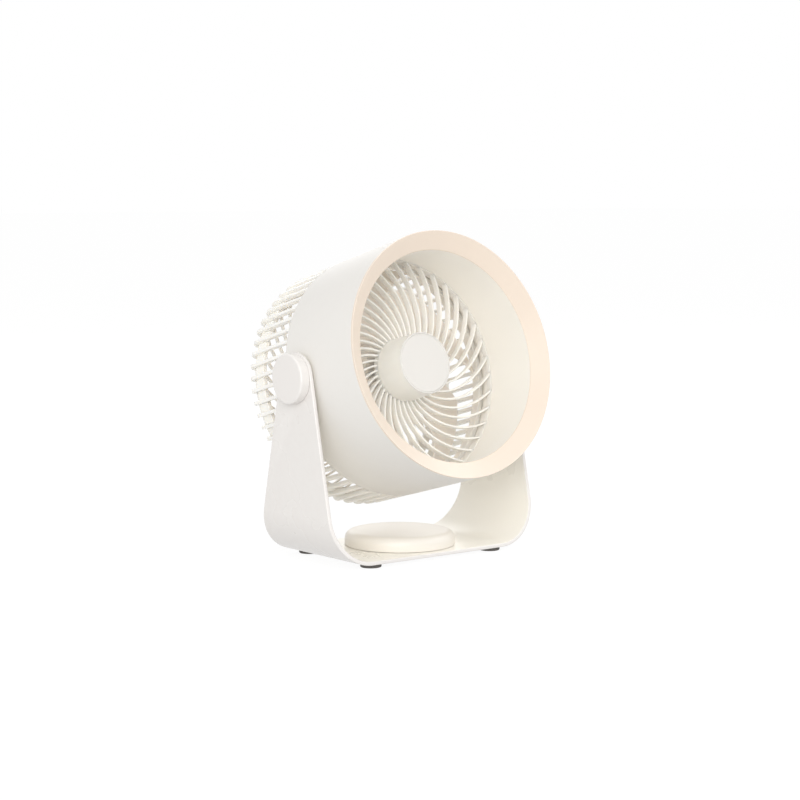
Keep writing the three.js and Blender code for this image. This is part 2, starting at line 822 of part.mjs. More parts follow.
const finishes = {
  housing: { color: 0xefebe4, roughness: 0.42, metalness: 0 },
  lip: { color: 0xf3e0cf, roughness: 0.4, metalness: 0 },
  grille: { color: 0xeae4d8, roughness: 0.45, metalness: 0 },
  cap: { color: 0xf1eeea, roughness: 0.38, metalness: 0 },
  blade: { color: 0xf0dcc6, roughness: 0.4, metalness: 0 },
  rubber: { color: 0x55524e, roughness: 0.85, metalness: 0 },
  steel: { color: 0xb4b6b8, roughness: 0.35, metalness: 0.9 },
  copper: { color: 0xb06f3f, roughness: 0.4, metalness: 0.8 },
  board: { color: 0x2f5a3c, roughness: 0.5, metalness: 0 },
  nylon: { color: 0xd9d6cf, roughness: 0.55, metalness: 0 },
  light: { color: 0xcfe6d2, roughness: 0.2, metalness: 0 },
};

const part = new THREE.Group();
const head = new THREE.Group();
head.position.set(0, 0, PIVOT_HEIGHT);
head.rotation.x = Math.PI / 2 - TILT;
part.add(head);

function add(group, name, geometry, finish, place = [0, 0, 0]) {
  const mesh = new THREE.Mesh(geometry, new THREE.MeshStandardMaterial(finishes[finish]));
  mesh.name = name;
  mesh.position.set(...place);
  group.add(mesh);
}

add(part, "stand_bracket", standBracket(), "housing");
add(part, "pad_cover", padCover(), "housing");
add(part, "pad_weight", padWeight(), "steel");
padScrewPlaces().forEach(([x, y], i) => add(part, `pad_screw_${i + 1}`, padScrew(), "steel", [x, y, 0]));
const corners = [
  ["front_left", -1, -1],
  ["front_right", 1, -1],
  ["rear_left", -1, 1],
  ["rear_right", 1, 1],
];
corners.forEach(([name, x, y]) => add(part, `foot_${name}`, foot(), "rubber", [x * FOOT_X, y * FOOT_Y, 0]));

const sides = [
  ["left", -1],
  ["right", 1],
];
const pivot = [0, 0, PIVOT_HEIGHT];
sides.forEach(([name, side]) => {
  add(part, `pivot_cap_${name}`, alongX(pivotCap(), side), "cap", pivot);
  add(part, `pivot_bush_${name}`, alongX(pivotBush(), side), "nylon", pivot);
  add(part, `tension_washer_${name}`, alongX(tensionWasher(), side), "steel", pivot);
  add(head, `pivot_screw_${name}`, alongX(pivotScrew(), side), "steel");
});

add(head, "drum_housing", drumHousing(), "housing");
add(head, "front_bezel", frontBezel(), "lip");
add(head, "front_guard", frontGuard(), "grille");
add(head, "hub_shroud", hubShroud(), "grille");
add(head, "hub_cap", hubCap(), "cap");
add(head, "rear_cage", rearCage(), "grille");
add(head, "rear_grille", rearGrille(), "grille");
grilleScrewPlaces().forEach(([x, y], i) => add(head, `grille_screw_${i + 1}`, grilleScrew(), "steel", [x, y, 0]));

add(head, "motor_base", motorBase(), "steel");
motorScrewPlaces().forEach(([x, y], i) => add(head, `motor_screw_${i + 1}`, motorScrew(), "steel", [x, y, 0]));
add(head, "stator", stator(), "copper");
add(head, "bearing_front", bearing(114), "steel");
add(head, "bearing_rear", bearing(127), "steel");
add(head, "control_board", controlBoard(), "board");
add(head, "tact_switch", tactSwitch(), "steel");
add(head, "power_inlet", powerInlet(), "steel");
add(head, "status_light", statusLight(), "light");
add(head, "rear_cover", rearCover(), "cap");
add(head, "speed_button", speedButton(), "cap");

add(head, "rotor_bell", rotorBell(), "steel");
add(head, "motor_shaft", motorShaft(), "steel");
add(head, "impeller", impeller(), "blade");
add(head, "impeller_nut", impellerNut(), "nylon");

export default part;
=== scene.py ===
import json
import math

import bmesh
import bpy
from mathutils import Matrix, Vector


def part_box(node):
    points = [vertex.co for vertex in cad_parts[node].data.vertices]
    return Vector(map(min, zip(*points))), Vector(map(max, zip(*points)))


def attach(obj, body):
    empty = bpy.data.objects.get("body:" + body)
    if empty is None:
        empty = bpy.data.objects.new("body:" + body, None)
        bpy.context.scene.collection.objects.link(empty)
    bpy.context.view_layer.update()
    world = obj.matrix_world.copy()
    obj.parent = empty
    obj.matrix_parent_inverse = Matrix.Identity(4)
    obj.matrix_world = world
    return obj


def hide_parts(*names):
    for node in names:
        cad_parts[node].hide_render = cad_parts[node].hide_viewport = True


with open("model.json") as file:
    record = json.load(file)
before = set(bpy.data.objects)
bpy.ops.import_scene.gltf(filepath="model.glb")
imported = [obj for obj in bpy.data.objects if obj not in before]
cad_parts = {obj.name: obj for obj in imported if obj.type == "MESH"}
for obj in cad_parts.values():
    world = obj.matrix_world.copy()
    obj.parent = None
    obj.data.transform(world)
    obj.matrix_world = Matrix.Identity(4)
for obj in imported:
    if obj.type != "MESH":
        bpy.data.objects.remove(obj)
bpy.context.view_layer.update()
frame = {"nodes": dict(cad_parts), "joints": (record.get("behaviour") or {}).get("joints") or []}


# ---- Camera ----
# The fan is seen from its left front, a little above the middle of its height, from far enough
# away that its upright lines stay nearly parallel.

CAMERA_TURN = math.radians(-38.68)
CAMERA_RISE = math.radians(5.9)
CAMERA_DISTANCE = 1.6858
SENSOR_WIDTH = 36
LENS = 92.8
AIM = Vector((0.0003, 0, 0.125))

towards_camera = Vector(
    (
        math.sin(CAMERA_TURN) * math.cos(CAMERA_RISE),
        -math.cos(CAMERA_TURN) * math.cos(CAMERA_RISE),
        math.sin(CAMERA_RISE),
    )
)
bpy.ops.object.camera_add(
    location=AIM + CAMERA_DISTANCE * towards_camera,
    rotation=towards_camera.to_track_quat("Z", "Y").to_euler(),
)
camera = bpy.context.object
camera.data.sensor_width = SENSOR_WIDTH
camera.data.lens = LENS
bpy.context.scene.camera = camera
bpy.context.scene.view_settings.view_transform = "Standard"


# ---- Stand bracket ----
# One strip of 3.25 mm steel, bent up into a U, with arms that taper to round tops. Its satin
# powder coat is painted paler on the faces that look in, as painted light that lifts the shade
# under the head. All pieces are modelled in millimetres, and then settled at their place in
# metres.

MM = 0.001
NEAR = 0.01
STAND = Matrix.Identity(4)
BASE_DEPTH = 105
STRIP = 3.25
BEND_RADIUS = 38
BEND_STEPS = 24
ARM_TRIMS = 44
STRIP_EDGE = 0.9
EDGE_STEPS = 3
SHARP_EDGE = 40
SMOOTH_BELOW = 35
ARM_SPARE = 1
PIVOT_HOLE = 7
PAD_SCREWS = 36
SINK_RADIUS = 3.5
SINK_DEPTH = 1.9

joints = {joint["name"]: joint for joint in frame["joints"]}
pivot = Vector(joints["head_tilt"]["pos_m"]) / MM
strip_low, strip_high = (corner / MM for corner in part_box("stand_bracket"))
pad_screw_places = [
    Vector((PAD_SCREWS * math.cos(turn), PAD_SCREWS * math.sin(turn), 0))
    for turn in (math.radians(45 + 90 * quarter) for quarter in range(4))
]


def open_new(name):
    """Names the primitive that was just added and opens it for modelling, all of it selected."""
    piece = bpy.context.object
    piece.name = name
    bpy.ops.object.mode_set(mode="EDIT")
    bpy.ops.mesh.select_mode(type="EDGE")
    bpy.ops.mesh.select_all(action="SELECT")
    return piece


def pick_edges(piece, wanted):
    """Selects the edges of the open piece that pass a test."""
    bpy.ops.mesh.select_mode(type="EDGE")
    bpy.ops.mesh.select_all(action="DESELECT")
    for edge in bmesh.from_edit_mesh(piece.data).edges:
        if wanted(edge):
            edge.select_set(True)
    bmesh.update_edit_mesh(piece.data)


def clean_up():
    """Merges doubled points and turns all faces outwards."""
    bpy.ops.mesh.select_all(action="SELECT")
    bpy.ops.mesh.remove_doubles(threshold=NEAR / 10)
    bpy.ops.mesh.normals_make_consistent(inside=False)


def shut():
    """Leaves the piece that is open, if one is, and deselects everything."""
    if bpy.context.mode == "EDIT_MESH":
        bpy.ops.object.mode_set(mode="OBJECT")
    bpy.ops.object.select_all(action="DESELECT")


def modify(piece, kind, **settings):
    """Adds a modifier to a piece, sets it and applies it."""
    shut()
    modifier = piece.modifiers.new(kind.lower(), kind)
    for name, value in settings.items():
        setattr(modifier, name, value)
    bpy.context.view_layer.objects.active = piece
    bpy.ops.object.modifier_apply(modifier=modifier.name)


def round_edges(piece, width, segments, sharper_than):
    """Rounds the edges of a piece that turn by more than an angle in degrees."""
    modify(
        piece,
        "BEVEL",
        width=width,
        segments=segments,
        limit_method="ANGLE",
        angle_limit=math.radians(sharper_than),
    )


def cut_with(piece, tool):
    """Takes a tool's shape out of a piece and deletes the tool."""
    modify(piece, "BOOLEAN", operation="DIFFERENCE", object=tool, solver="EXACT")
    bpy.data.objects.remove(tool)


def drill(piece, radius, start, end, sides=48):
    """Cuts a round hole from one point to another."""
    shut()
    along = end - start
    bpy.ops.mesh.primitive_cylinder_add(
        vertices=sides,
        radius=radius,
        depth=along.length,
        location=(start + end) / 2,
        rotation=along.to_track_quat("Z", "Y").to_euler(),
    )
    cut_with(piece, bpy.context.object)


def settle(piece, place):
    """Puts a finished piece at its place, to scale, and leaves its object at the origin."""
    shut()
    piece.select_set(True)
    bpy.context.view_layer.objects.active = piece
    piece.matrix_world = place @ Matrix.Scale(MM, 4) @ piece.matrix_world
    bpy.ops.object.transform_apply(location=True, rotation=True, scale=True)
    bpy.ops.object.shade_smooth_by_angle(angle=math.radians(SMOOTH_BELOW))
    modify(piece, "WEIGHTED_NORMAL", keep_sharp=True)


def fit(piece, body, slot, material, *nodes):
    """Gives a piece its finish and ties it to its body and to the CAD nodes it stands for."""
    piece.data.materials.clear()
    piece.data.materials.append(material)
    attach(piece, body)
    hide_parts(*nodes)


def paint_shading_on(piece, material, wanted):
    """Gives a second material to the faces of a fitted piece that pass a test, which paints light
    or shade on them.
    """
    piece.data.materials.append(material)
    for face in piece.data.polygons:
        face.material_index = int(wanted(face))


def srgb(red, green, blue):
    """A colour in the steps of a screen, as the shader's linear values."""
    return tuple(((step / 255 + 0.055) / 1.055) ** 2.4 for step in (red, green, blue)) + (1,)


def add_node(tree, kind, inputs, **settings):
    """Adds a shader node, with its settings and with its inputs set or joined."""
    node = tree.nodes.new(kind)
    for name, value in settings.items():
        setattr(node, name, value)
    for name, value in inputs.items():
        if isinstance(value, bpy.types.NodeSocket):
            tree.links.new(value, node.inputs[name])
        else:
            node.inputs[name].default_value = value
    return node


def worked(tree, operation, first, second):
    """The result of plain arithmetic on two values."""
    return add_node(tree, "ShaderNodeMath", {0: first, 1: second}, operation=operation).outputs[0]


def mixed(tree, factor, first, second):
    """One colour turning into another."""
    node = add_node(tree, "ShaderNodeMix", {0: factor, 6: first, 7: second}, data_type="RGBA")
    return node.outputs[2]


def ramped(tree, value, low, high):
    """A value spread from 0 at its low end to 1 at its high end."""
    return add_node(
        tree,
        "ShaderNodeMapRange",
        {"Value": value, "From Min": low, "From Max": high},
    ).outputs[0]


def noise(tree, scale, detail=2):
    """Noise that is fixed to the piece."""
    place = add_node(tree, "ShaderNodeTexCoord", {}).outputs["Object"]
    return add_node(
        tree,
        "ShaderNodeTexNoise",
        {"Vector": place, "Scale": scale, "Detail": detail},
    ).outputs["Fac"]


CLOUD_SCALE = 14
WEAR_SCALE = 160
DUST_SCALE = 420
WORN_FROM = 0.51
WORN_FULLY = 0.6
DUST_SLOPE = 0.3
CLOUD_ROUGHNESS = 0.15
GRAIN_HEIGHT = 0.0002
DUST_COLOUR = srgb(196, 190, 181)


def make_worn_skin():
    """Cloudy tone, fine grain, bright worn edges and a little dust on what faces up."""
    group = bpy.data.node_groups.new("worn_skin", "ShaderNodeTree")
    for name, kind in (
        ("Colour", "NodeSocketColor"),
        ("Worn Colour", "NodeSocketColor"),
        ("Roughness", "NodeSocketFloat"),
        ("Clouds", "NodeSocketFloat"),
        ("Grain Scale", "NodeSocketFloat"),
        ("Grain Depth", "NodeSocketFloat"),
        ("Dust", "NodeSocketFloat"),
    ):
        group.interface.new_socket(name, in_out="INPUT", socket_type=kind)
    for name, kind in (
        ("Colour", "NodeSocketColor"),
        ("Roughness", "NodeSocketFloat"),
        ("Normal", "NodeSocketVector"),
    ):
        group.interface.new_socket(name, in_out="OUTPUT", socket_type=kind)
    given = add_node(group, "NodeGroupInput", {}).outputs

    cloud = worked(group, "SUBTRACT", noise(group, CLOUD_SCALE, 4), 0.5)
    tone = worked(group, "ADD", worked(group, "MULTIPLY", cloud, given["Clouds"]), 1)
    toned = add_node(
        group,
        "ShaderNodeVectorMath",
        {0: given["Colour"], "Scale": tone},
        operation="SCALE",
    )

    pointiness = add_node(group, "ShaderNodeNewGeometry", {}).outputs["Pointiness"]
    edges = ramped(group, pointiness, WORN_FROM, WORN_FULLY)
    wear = worked(group, "MULTIPLY", edges, noise(group, WEAR_SCALE, 3))
    worn = mixed(group, wear, toned.outputs[0], given["Worn Colour"])

    normal = add_node(group, "ShaderNodeTexCoord", {}).outputs["Normal"]
    upward = add_node(group, "ShaderNodeSeparateXYZ", {0: normal}).outputs["Z"]
    shelves = ramped(group, upward, DUST_SLOPE, 1)
    settled = worked(group, "MULTIPLY", shelves, noise(group, DUST_SCALE, 5))
    dust = worked(group, "MULTIPLY", settled, given["Dust"])

    cloudy = worked(group, "MULTIPLY", cloud, CLOUD_ROUGHNESS)
    rough = worked(group, "ADD", given["Roughness"], cloudy)
    grain = add_node(
        group,
        "ShaderNodeBump",
        {
            "Height": noise(group, given["Grain Scale"]),
            "Strength": given["Grain Depth"],
            "Distance": GRAIN_HEIGHT,
        },
    )
    add_node(
        group,
        "NodeGroupOutput",
        {
            "Colour": mixed(group, dust, worn, DUST_COLOUR),
            "Roughness": worked(group, "ADD", rough, dust),
            "Normal": grain.outputs[0],
        },
    )
    return group


worn_skin = make_worn_skin()

LACQUER_ROUGHNESS = 0.3
MILK_TINT = (1, 0.9, 0.76)
MILK_REACH = 0.006


def skinned(name, colour, worn, roughness, clouds, grain, depth, dust, lacquer=0.0, milky=0.0):
    """A moulded or coated finish: the worn skin with its own colours and amounts."""
    material = bpy.data.materials.new(name)
    material.use_nodes = True
    tree = material.node_tree
    skin = add_node(tree, "ShaderNodeGroup", {})
    skin.node_tree = worn_skin
    for socket, value in (
        ("Colour", colour),
        ("Worn Colour", worn),
        ("Roughness", roughness),
        ("Clouds", clouds),
        ("Grain Scale", grain),
        ("Grain Depth", depth),
        ("Dust", dust),
    ):
        skin.inputs[socket].default_value = value
    shader = tree.nodes["Principled BSDF"]
    shader.inputs["Coat Weight"].default_value = lacquer
    shader.inputs["Coat Roughness"].default_value = LACQUER_ROUGHNESS
    shader.inputs["Subsurface Weight"].default_value = milky
    shader.inputs["Subsurface Radius"].default_value = MILK_TINT
    shader.inputs["Subsurface Scale"].default_value = MILK_REACH
    tree.links.new(skin.outputs["Colour"], shader.inputs["Base Color"])
    tree.links.new(skin.outputs["Roughness"], shader.inputs["Roughness"])
    tree.links.new(skin.outputs["Normal"], shader.inputs["Normal"])
    return material


powder_coat = skinned(
    "powder_coat",
    colour=srgb(231, 227, 223),
    worn=srgb(250, 248, 244),
    roughness=0.28,
    clouds=0.01,
    grain=1400,
    depth=0.1,
    dust=0.015,
)
# Painted light: a paler copy of the powder coat for the strip's faces that look in, which lifts
# the shade under the head.
powder_coat_painted_light = skinned(
    "powder_coat_painted_light",
    colour=srgb(252, 248, 238),
    worn=srgb(253, 251, 245),
    roughness=0.28,
    clouds=0.015,
    grain=1400,
    depth=0.12,
    dust=0.02,
)

bend_x = strip_high.x - BEND_RADIUS
arm_round = strip_high.z - pivot.z
shut()
bpy.ops.mesh.primitive_plane_add(size=1)
bracket = open_new("bent_strip")
bpy.ops.transform.resize(value=(2 * bend_x, BASE_DEPTH, 1), center_override=(0, 0, 0))
bpy.ops.transform.translate(value=(0, 0, strip_low.z))
for side in (1, -1):
    pick_edges(
        bracket,
        lambda edge: all(abs(point.co.x - side * bend_x) < NEAR for point in edge.verts),
    )
    bpy.ops.mesh.spin(
        steps=BEND_STEPS,
        angle=math.pi / 2,
        center=(side * bend_x, 0, strip_low.z + BEND_RADIUS),
        axis=(0, side, 0),
    )
    arm_length = strip_high.z + ARM_SPARE - strip_low.z - BEND_RADIUS
    bpy.ops.mesh.extrude_region_move(TRANSFORM_OT_translate={"value": (0, 0, arm_length)})
tangent = math.acos(arm_round / math.hypot(BASE_DEPTH / 2, pivot.z))
lean = tangent - math.atan2(pivot.z, BASE_DEPTH / 2)
for trim in range(ARM_TRIMS + 1):
    turn = lean + (math.pi - 2 * lean) * trim / ARM_TRIMS
    outwards = Vector((0, math.cos(turn), math.sin(turn)))
    bpy.ops.mesh.select_all(action="SELECT")
    bpy.ops.mesh.bisect(
        plane_co=pivot + arm_round * outwards,
        plane_no=outwards,
        clear_outer=True,
    )
clean_up()
modify(bracket, "SOLIDIFY", thickness=STRIP, offset=-1, use_even_offset=True)
round_edges(bracket, STRIP_EDGE, EDGE_STEPS, sharper_than=SHARP_EDGE)
across = Vector((strip_high.x + STRIP, 0, 0))
drill(bracket, PIVOT_HOLE, pivot - across, pivot + across)
for place in pad_screw_places:
    drill(bracket, SINK_RADIUS, place, place + Vector((0, 0, strip_low.z + SINK_DEPTH)), sides=32)
settle(bracket, STAND)
fit(bracket, "stand", "stand", powder_coat, "stand_bracket")


def looks_in(face):
    """Whether a face of the strip is turned towards the head, and so takes the painted light."""
    inwards = Vector((0, face.center.y, pivot.z * MM)) - face.center
    return abs(face.normal.y) < 0.5 and face.normal.dot(inwards) > 0


paint_shading_on(bracket, powder_coat_painted_light, looks_in)


# ---- Feet ----
# Four low discs of dark rubber, glued under the corners of the base. Each is turned with a soft
# lower edge and a shallow suction dish.

FOOT_EDGE = 0.9
FOOT_DISH = 0.5
FOOT_RIM = 2.4
DISH_SLOPE = 0.6


def on_ring(radius, height):
    """A test for the edges that run round Z at a radius and a height."""

    def test(edge):
        return all(
            abs(math.hypot(point.co.x, point.co.y) - radius) < NEAR
            and abs(point.co.z - height) < NEAR
            for point in edge.verts
        )

    return test


def turned(name, profile, sides=144, capped=False):
    """A body of revolution about Z: a circle extruded along points of radius, height and, where
    the corner is rounded, its rounding. It closes on itself, or has a flat cap at each end."""
    shut()
    radius, height = profile[0][:2]
    bpy.ops.mesh.primitive_circle_add(vertices=sides, radius=radius)
    piece = open_new(name)
    bpy.ops.transform.translate(value=(0, 0, height))
    for point in profile[1:] if capped else profile[1:] + profile[:1]:
        rise = {"value": (0, 0, point[1] - height)}
        bpy.ops.mesh.extrude_edges_move(TRANSFORM_OT_translate=rise)
        growth = point[0] / radius
        bpy.ops.transform.resize(value=(growth, growth, 1), center_override=(0, 0, point[1]))
        radius, height = point[:2]
    if capped:
        for end in (profile[0], profile[-1]):
            pick_edges(piece, on_ring(*end[:2]))
            bpy.ops.mesh.edge_face_add()
    clean_up()
    for radius, height, rounding in (point for point in profile if len(point) == 3):
        pick_edges(piece, on_ring(radius, height))
        bpy.ops.mesh.bevel(offset=rounding, segments=4, profile=0.5, affect="EDGES")
    return piece


rubber = skinned(
    "foot_rubber",
    colour=srgb(84, 80, 76),
    worn=srgb(112, 108, 103),
    roughness=0.75,
    clouds=0.25,
    grain=900,
    depth=0.4,
    dust=0.1,
)

for corner in ("front_left", "front_right", "rear_left", "rear_right"):
    foot_low, foot_high = (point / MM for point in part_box("foot_" + corner))
    middle = (foot_low + foot_high) / 2
    radius = (foot_high.x - foot_low.x) / 2
    foot = turned(
        "rubber_foot_" + corner,
        [
            (radius - FOOT_RIM - DISH_SLOPE, FOOT_DISH),
            (radius - FOOT_RIM, 0, 0.2),
            (radius, 0, FOOT_EDGE),
            (radius, foot_high.z, 0.2),
            (radius - 1, foot_high.z),
        ],
        sides=64,
        capped=True,
    )
    settle(foot, Matrix.Translation((middle.x * MM, middle.y * MM, 0)))
    fit(foot, "stand", "rubber", rubber, "foot_" + corner)


# ---- Ballast pad ----
# A round moulded cover on the base, with a softly rounded top edge. It hides the steel disc that
# keeps the fan from tipping, and four pan-head screws hold it from below.

PAD_WALL = 2
PAD_ROUND = 6.5
SCREW_HEAD = 1.3
SCREW_SHANK = 1.4
RECESS_LENGTH = 1.1
RECESS_WIDTH = 0.22
RECESS_DEPTH = 0.9

pad_moulding = skinned(
    "pad_moulding",
    colour=srgb(239, 233, 223),
    worn=srgb(246, 243, 237),
    roughness=0.35,
    clouds=0.01,
    grain=1100,
    depth=0.03,
    dust=0.005,
)

pad_low, pad_high = (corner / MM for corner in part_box("pad_cover"))
pad_radius = pad_high.x
pad = turned(
    "round_pad",
    [
        (pad_radius - 8, pad_high.z - PAD_WALL),
        (pad_radius - PAD_WALL, pad_high.z - PAD_WALL - 4),
        (pad_radius - PAD_WALL, pad_low.z),
        (pad_radius, pad_low.z, 0.3),
        (pad_radius, pad_high.z, PAD_ROUND),
        (pad_radius - 12, pad_high.z),
    ],
    capped=True,
)
settle(pad, STAND)
fit(pad, "stand", "pad", pad_moulding, "pad_cover")

BLOTCH_SCALE = 220
MARK_SCALE = 4000
MARK_STRENGTH = 0.12
ZINC_GREY = srgb(196, 198, 200)
ZINC_WARM = srgb(222, 219, 210)


def make_plated_steel():
    """Zinc plate: bright metal with a faint blotchy tint and fine turning marks."""
    material = bpy.data.materials.new("plated_steel")
    material.use_nodes = True
    tree = material.node_tree
    blotches = noise(tree, BLOTCH_SCALE, 3)
    marks = add_node(
        tree,
        "ShaderNodeBump",
        {"Height": noise(tree, MARK_SCALE), "Strength": MARK_STRENGTH, "Distance": GRAIN_HEIGHT},
    )
    zinc = mixed(tree, blotches, ZINC_GREY, ZINC_WARM)
    rough = worked(tree, "ADD", worked(tree, "MULTIPLY", blotches, 0.2), 0.2)
    shader = tree.nodes["Principled BSDF"]
    shader.inputs["Metallic"].default_value = 1
    tree.links.new(zinc, shader.inputs["Base Color"])
    tree.links.new(rough, shader.inputs["Roughness"])
    tree.links.new(marks.outputs[0], shader.inputs["Normal"])
    return material


plated_steel = make_plated_steel()


def pan_screw(name, head_radius, head_height, shank_radius, length):
    """A pan-head screw with a cross recess, its head's top at 0 and its shank along +Z."""
    screw = turned(
        name,
        [
            (head_radius * 0.5, 0),
            (head_radius, 0, head_height * 0.45),
            (head_radius, head_height),
            (shank_radius, head_height),
            (shank_radius, length, 0.3),
            (shank_radius * 0.4, length),
        ],
        sides=40,
        capped=True,
    )
    for turn in (0, math.pi / 2):
        shut()
        bpy.ops.mesh.primitive_cube_add(
            size=1,
            rotation=(0, 0, turn),
            scale=(
                head_radius * RECESS_LENGTH,
                head_radius * RECESS_WIDTH,
                head_height * RECESS_DEPTH,
            ),
        )
        cut_with(screw, bpy.context.object)
    return screw


def refinish(material, *nodes):
    """Gives a better finish to CAD solids that keep their shape."""
    for node in nodes:
        frame["nodes"][node].data.materials.clear()
        frame["nodes"][node].data.materials.append(material)


for number, place in enumerate(pad_screw_places, 1):
    node = f"pad_screw_{number}"
    screw_low, screw_high = (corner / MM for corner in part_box(node))
    screw = pan_screw(
        "pan_" + node,
        head_radius=(screw_high.x - screw_low.x) / 2,
        head_height=SCREW_HEAD,
        shank_radius=SCREW_SHANK,
        length=screw_high.z - screw_low.z,
    )
    settle(screw, Matrix.Translation((place.x * MM, place.y * MM, screw_low.z * MM)))
    fit(screw, "stand", "steel", plated_steel, node)
refinish(plated_steel, "pad_weight")


# ---- Pivots ----
# Each arm carries a flanged nylon bush, a dished spring washer and the head of a shoulder screw,
# all under a smooth snap-on cap. The shoulder screw turns with the head.

CAP_EDGE = 1.6
CAP_WALL = 2
BUSH_BORE = 4.5
BUSH_SLEEVE = 6.5
CLEARANCE = 0.3

smooth_moulding = skinned(
    "smooth_moulding",
    colour=srgb(234, 230, 226),
    worn=srgb(246, 244, 241),
    roughness=0.33,
    clouds=0.02,
    grain=1600,
    depth=0.05,
    dust=0.02,
)
nylon = skinned(
    "natural_nylon",
    colour=srgb(222, 219, 211),
    worn=srgb(235, 233, 228),
    roughness=0.5,
    clouds=0.06,
    grain=900,
    depth=0.1,
    dust=0.05,
)

for name, side in (("left", -1), ("right", 1)):
    outwards = Matrix.Rotation(side * math.pi / 2, 4, "Y")
    outwards.translation = pivot * MM
    cap_low, cap_high = (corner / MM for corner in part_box("pivot_cap_" + name))
    radius = (cap_high.z - cap_low.z) / 2
    near, far = sorted((abs(cap_low.x), abs(cap_high.x)))
    cap = turned(
        "snap_cap_" + name,
        [
            (radius - 8, far - CAP_WALL),
            (radius - CAP_WALL, far - CAP_WALL),
            (radius - CAP_WALL, near),
            (radius, near, 0.3),
            (radius, far, CAP_EDGE),
            (radius - 6, far),
        ],
        sides=112,
        capped=True,
    )
    settle(cap, outwards)
    fit(cap, "stand", "cap", smooth_moulding, "pivot_cap_" + name)

    bush_low, bush_high = (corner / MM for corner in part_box("pivot_bush_" + name))
    radius = (bush_high.z - bush_low.z) / 2
    near, far = sorted((abs(bush_low.x), abs(bush_high.x)))
    flange = strip_high.x - STRIP - CLEARANCE
    bush = turned(
        "flanged_bush_" + name,
        [
            (BUSH_BORE, near, 0.2),
            (radius, near, 0.3),
            (radius, flange, 0.3),
            (BUSH_SLEEVE, flange),
            (BUSH_SLEEVE, far, 0.2),
            (BUSH_BORE, far, 0.2),
        ],
        sides=80,
    )
    settle(bush, outwards)
    fit(bush, "stand", "nylon", nylon, "pivot_bush_" + name)
    refinish(plated_steel, "tension_washer_" + name, "pivot_screw_" + name)


# ---- Drum housing ----
# The smooth outer skin of the head: a moulded tube with an inner ledge that the guard rests on.
# Head pieces are modelled about the fan's axis, with Z forward from the pivot, and then tilted.
# Their depths are measured back from the front rim.

RIM_AHEAD = 72.5
DRUM_RADIUS = 100
DRUM_INSIDE = 97.4
DRUM_FRONT = 2.4
DRUM_BACK = 90.8
LEDGE_RADIUS = 92.6
LEDGE_DEPTH = 73.6
LEDGE_THICKNESS = 3

forward = Vector(joints["impeller_spin"]["axis"]).normalized()
rightward = Vector((1, 0, 0))
HEAD = Matrix((rightward, forward.cross(rightward), forward)).transposed().to_4x4()
HEAD.translation = pivot * MM

satin_moulding = skinned(
    "satin_moulding",
    colour=srgb(233, 230, 225),
    worn=srgb(248, 246, 243),
    roughness=0.5,
    clouds=0.02,
    grain=1500,
    depth=0.08,
    dust=0.03,
)
# Painted light: a near-white copy of the mouldings for the inside of the drum and the nozzle,
# which stands in for light that the shade within the head holds back.
inner_painted_light = skinned(
    "inner_painted_light",
    colour=srgb(254, 251, 244),
    worn=srgb(254, 252, 247),
    roughness=0.34,
    clouds=0.015,
    grain=1500,
    depth=0.05,
    dust=0.02,
)


def at_depths(profile):
    """Turns depths behind the front rim into heights along the fan's axis."""
    return [(point[0], RIM_AHEAD - point[1], *point[2:]) for point in profile]


def middle_of(face):
    """How far from the fan's axis, and how deep, a face of a settled head piece lies."""
    middle = HEAD.inverted() @ face.center / MM
    return math.hypot(middle.x, middle.y), RIM_AHEAD - middle.z


drum = turned(
    "drum_skin",
    at_depths(
        [
            (DRUM_RADIUS, DRUM_FRONT, 0.3),
            (DRUM_RADIUS, DRUM_BACK, 0.6),
            (DRUM_INSIDE, DRUM_BACK, 0.3),
            (DRUM_INSIDE, LEDGE_DEPTH + 2 * LEDGE_THICKNESS),
            (LEDGE_RADIUS, LEDGE_DEPTH + LEDGE_THICKNESS),
            (LEDGE_RADIUS, LEDGE_DEPTH),
            (DRUM_INSIDE, LEDGE_DEPTH),
            (DRUM_INSIDE, DRUM_FRONT),
        ]
    ),
    sides=240,
)
settle(drum, HEAD)
fit(drum, "head", "housing", satin_moulding, "drum_housing")
# The inside wall and ledge of the drum take the painted light, paler than the outside.
paint_shading_on(drum, inner_painted_light, lambda face: middle_of(face)[0] < DRUM_INSIDE + 0.5)


# ---- Front bezel ----
# The wide conical lip and the nozzle wall behind it are one moulding, peach on the lip and less
# peach within, where the near-white inside is also painted light for the shade in the nozzle. It
# slides into the drum, caps its front edge, and holds the guard against the ledge.

LIP_RADIUS = 85.8
LIP_DEPTH = 9.1
NOZZLE_RADIUS = 92.6
NOZZLE_END = 67.4
BEZEL_RADIUS = 97.1
BEZEL_WALL = 2

peach_moulding = skinned(
    "peach_moulding",
    colour=srgb(231, 216, 200),
    worn=srgb(249, 238, 226),
    roughness=0.36,
    clouds=0.02,
    grain=1500,
    depth=0.05,
    dust=0.02,
)

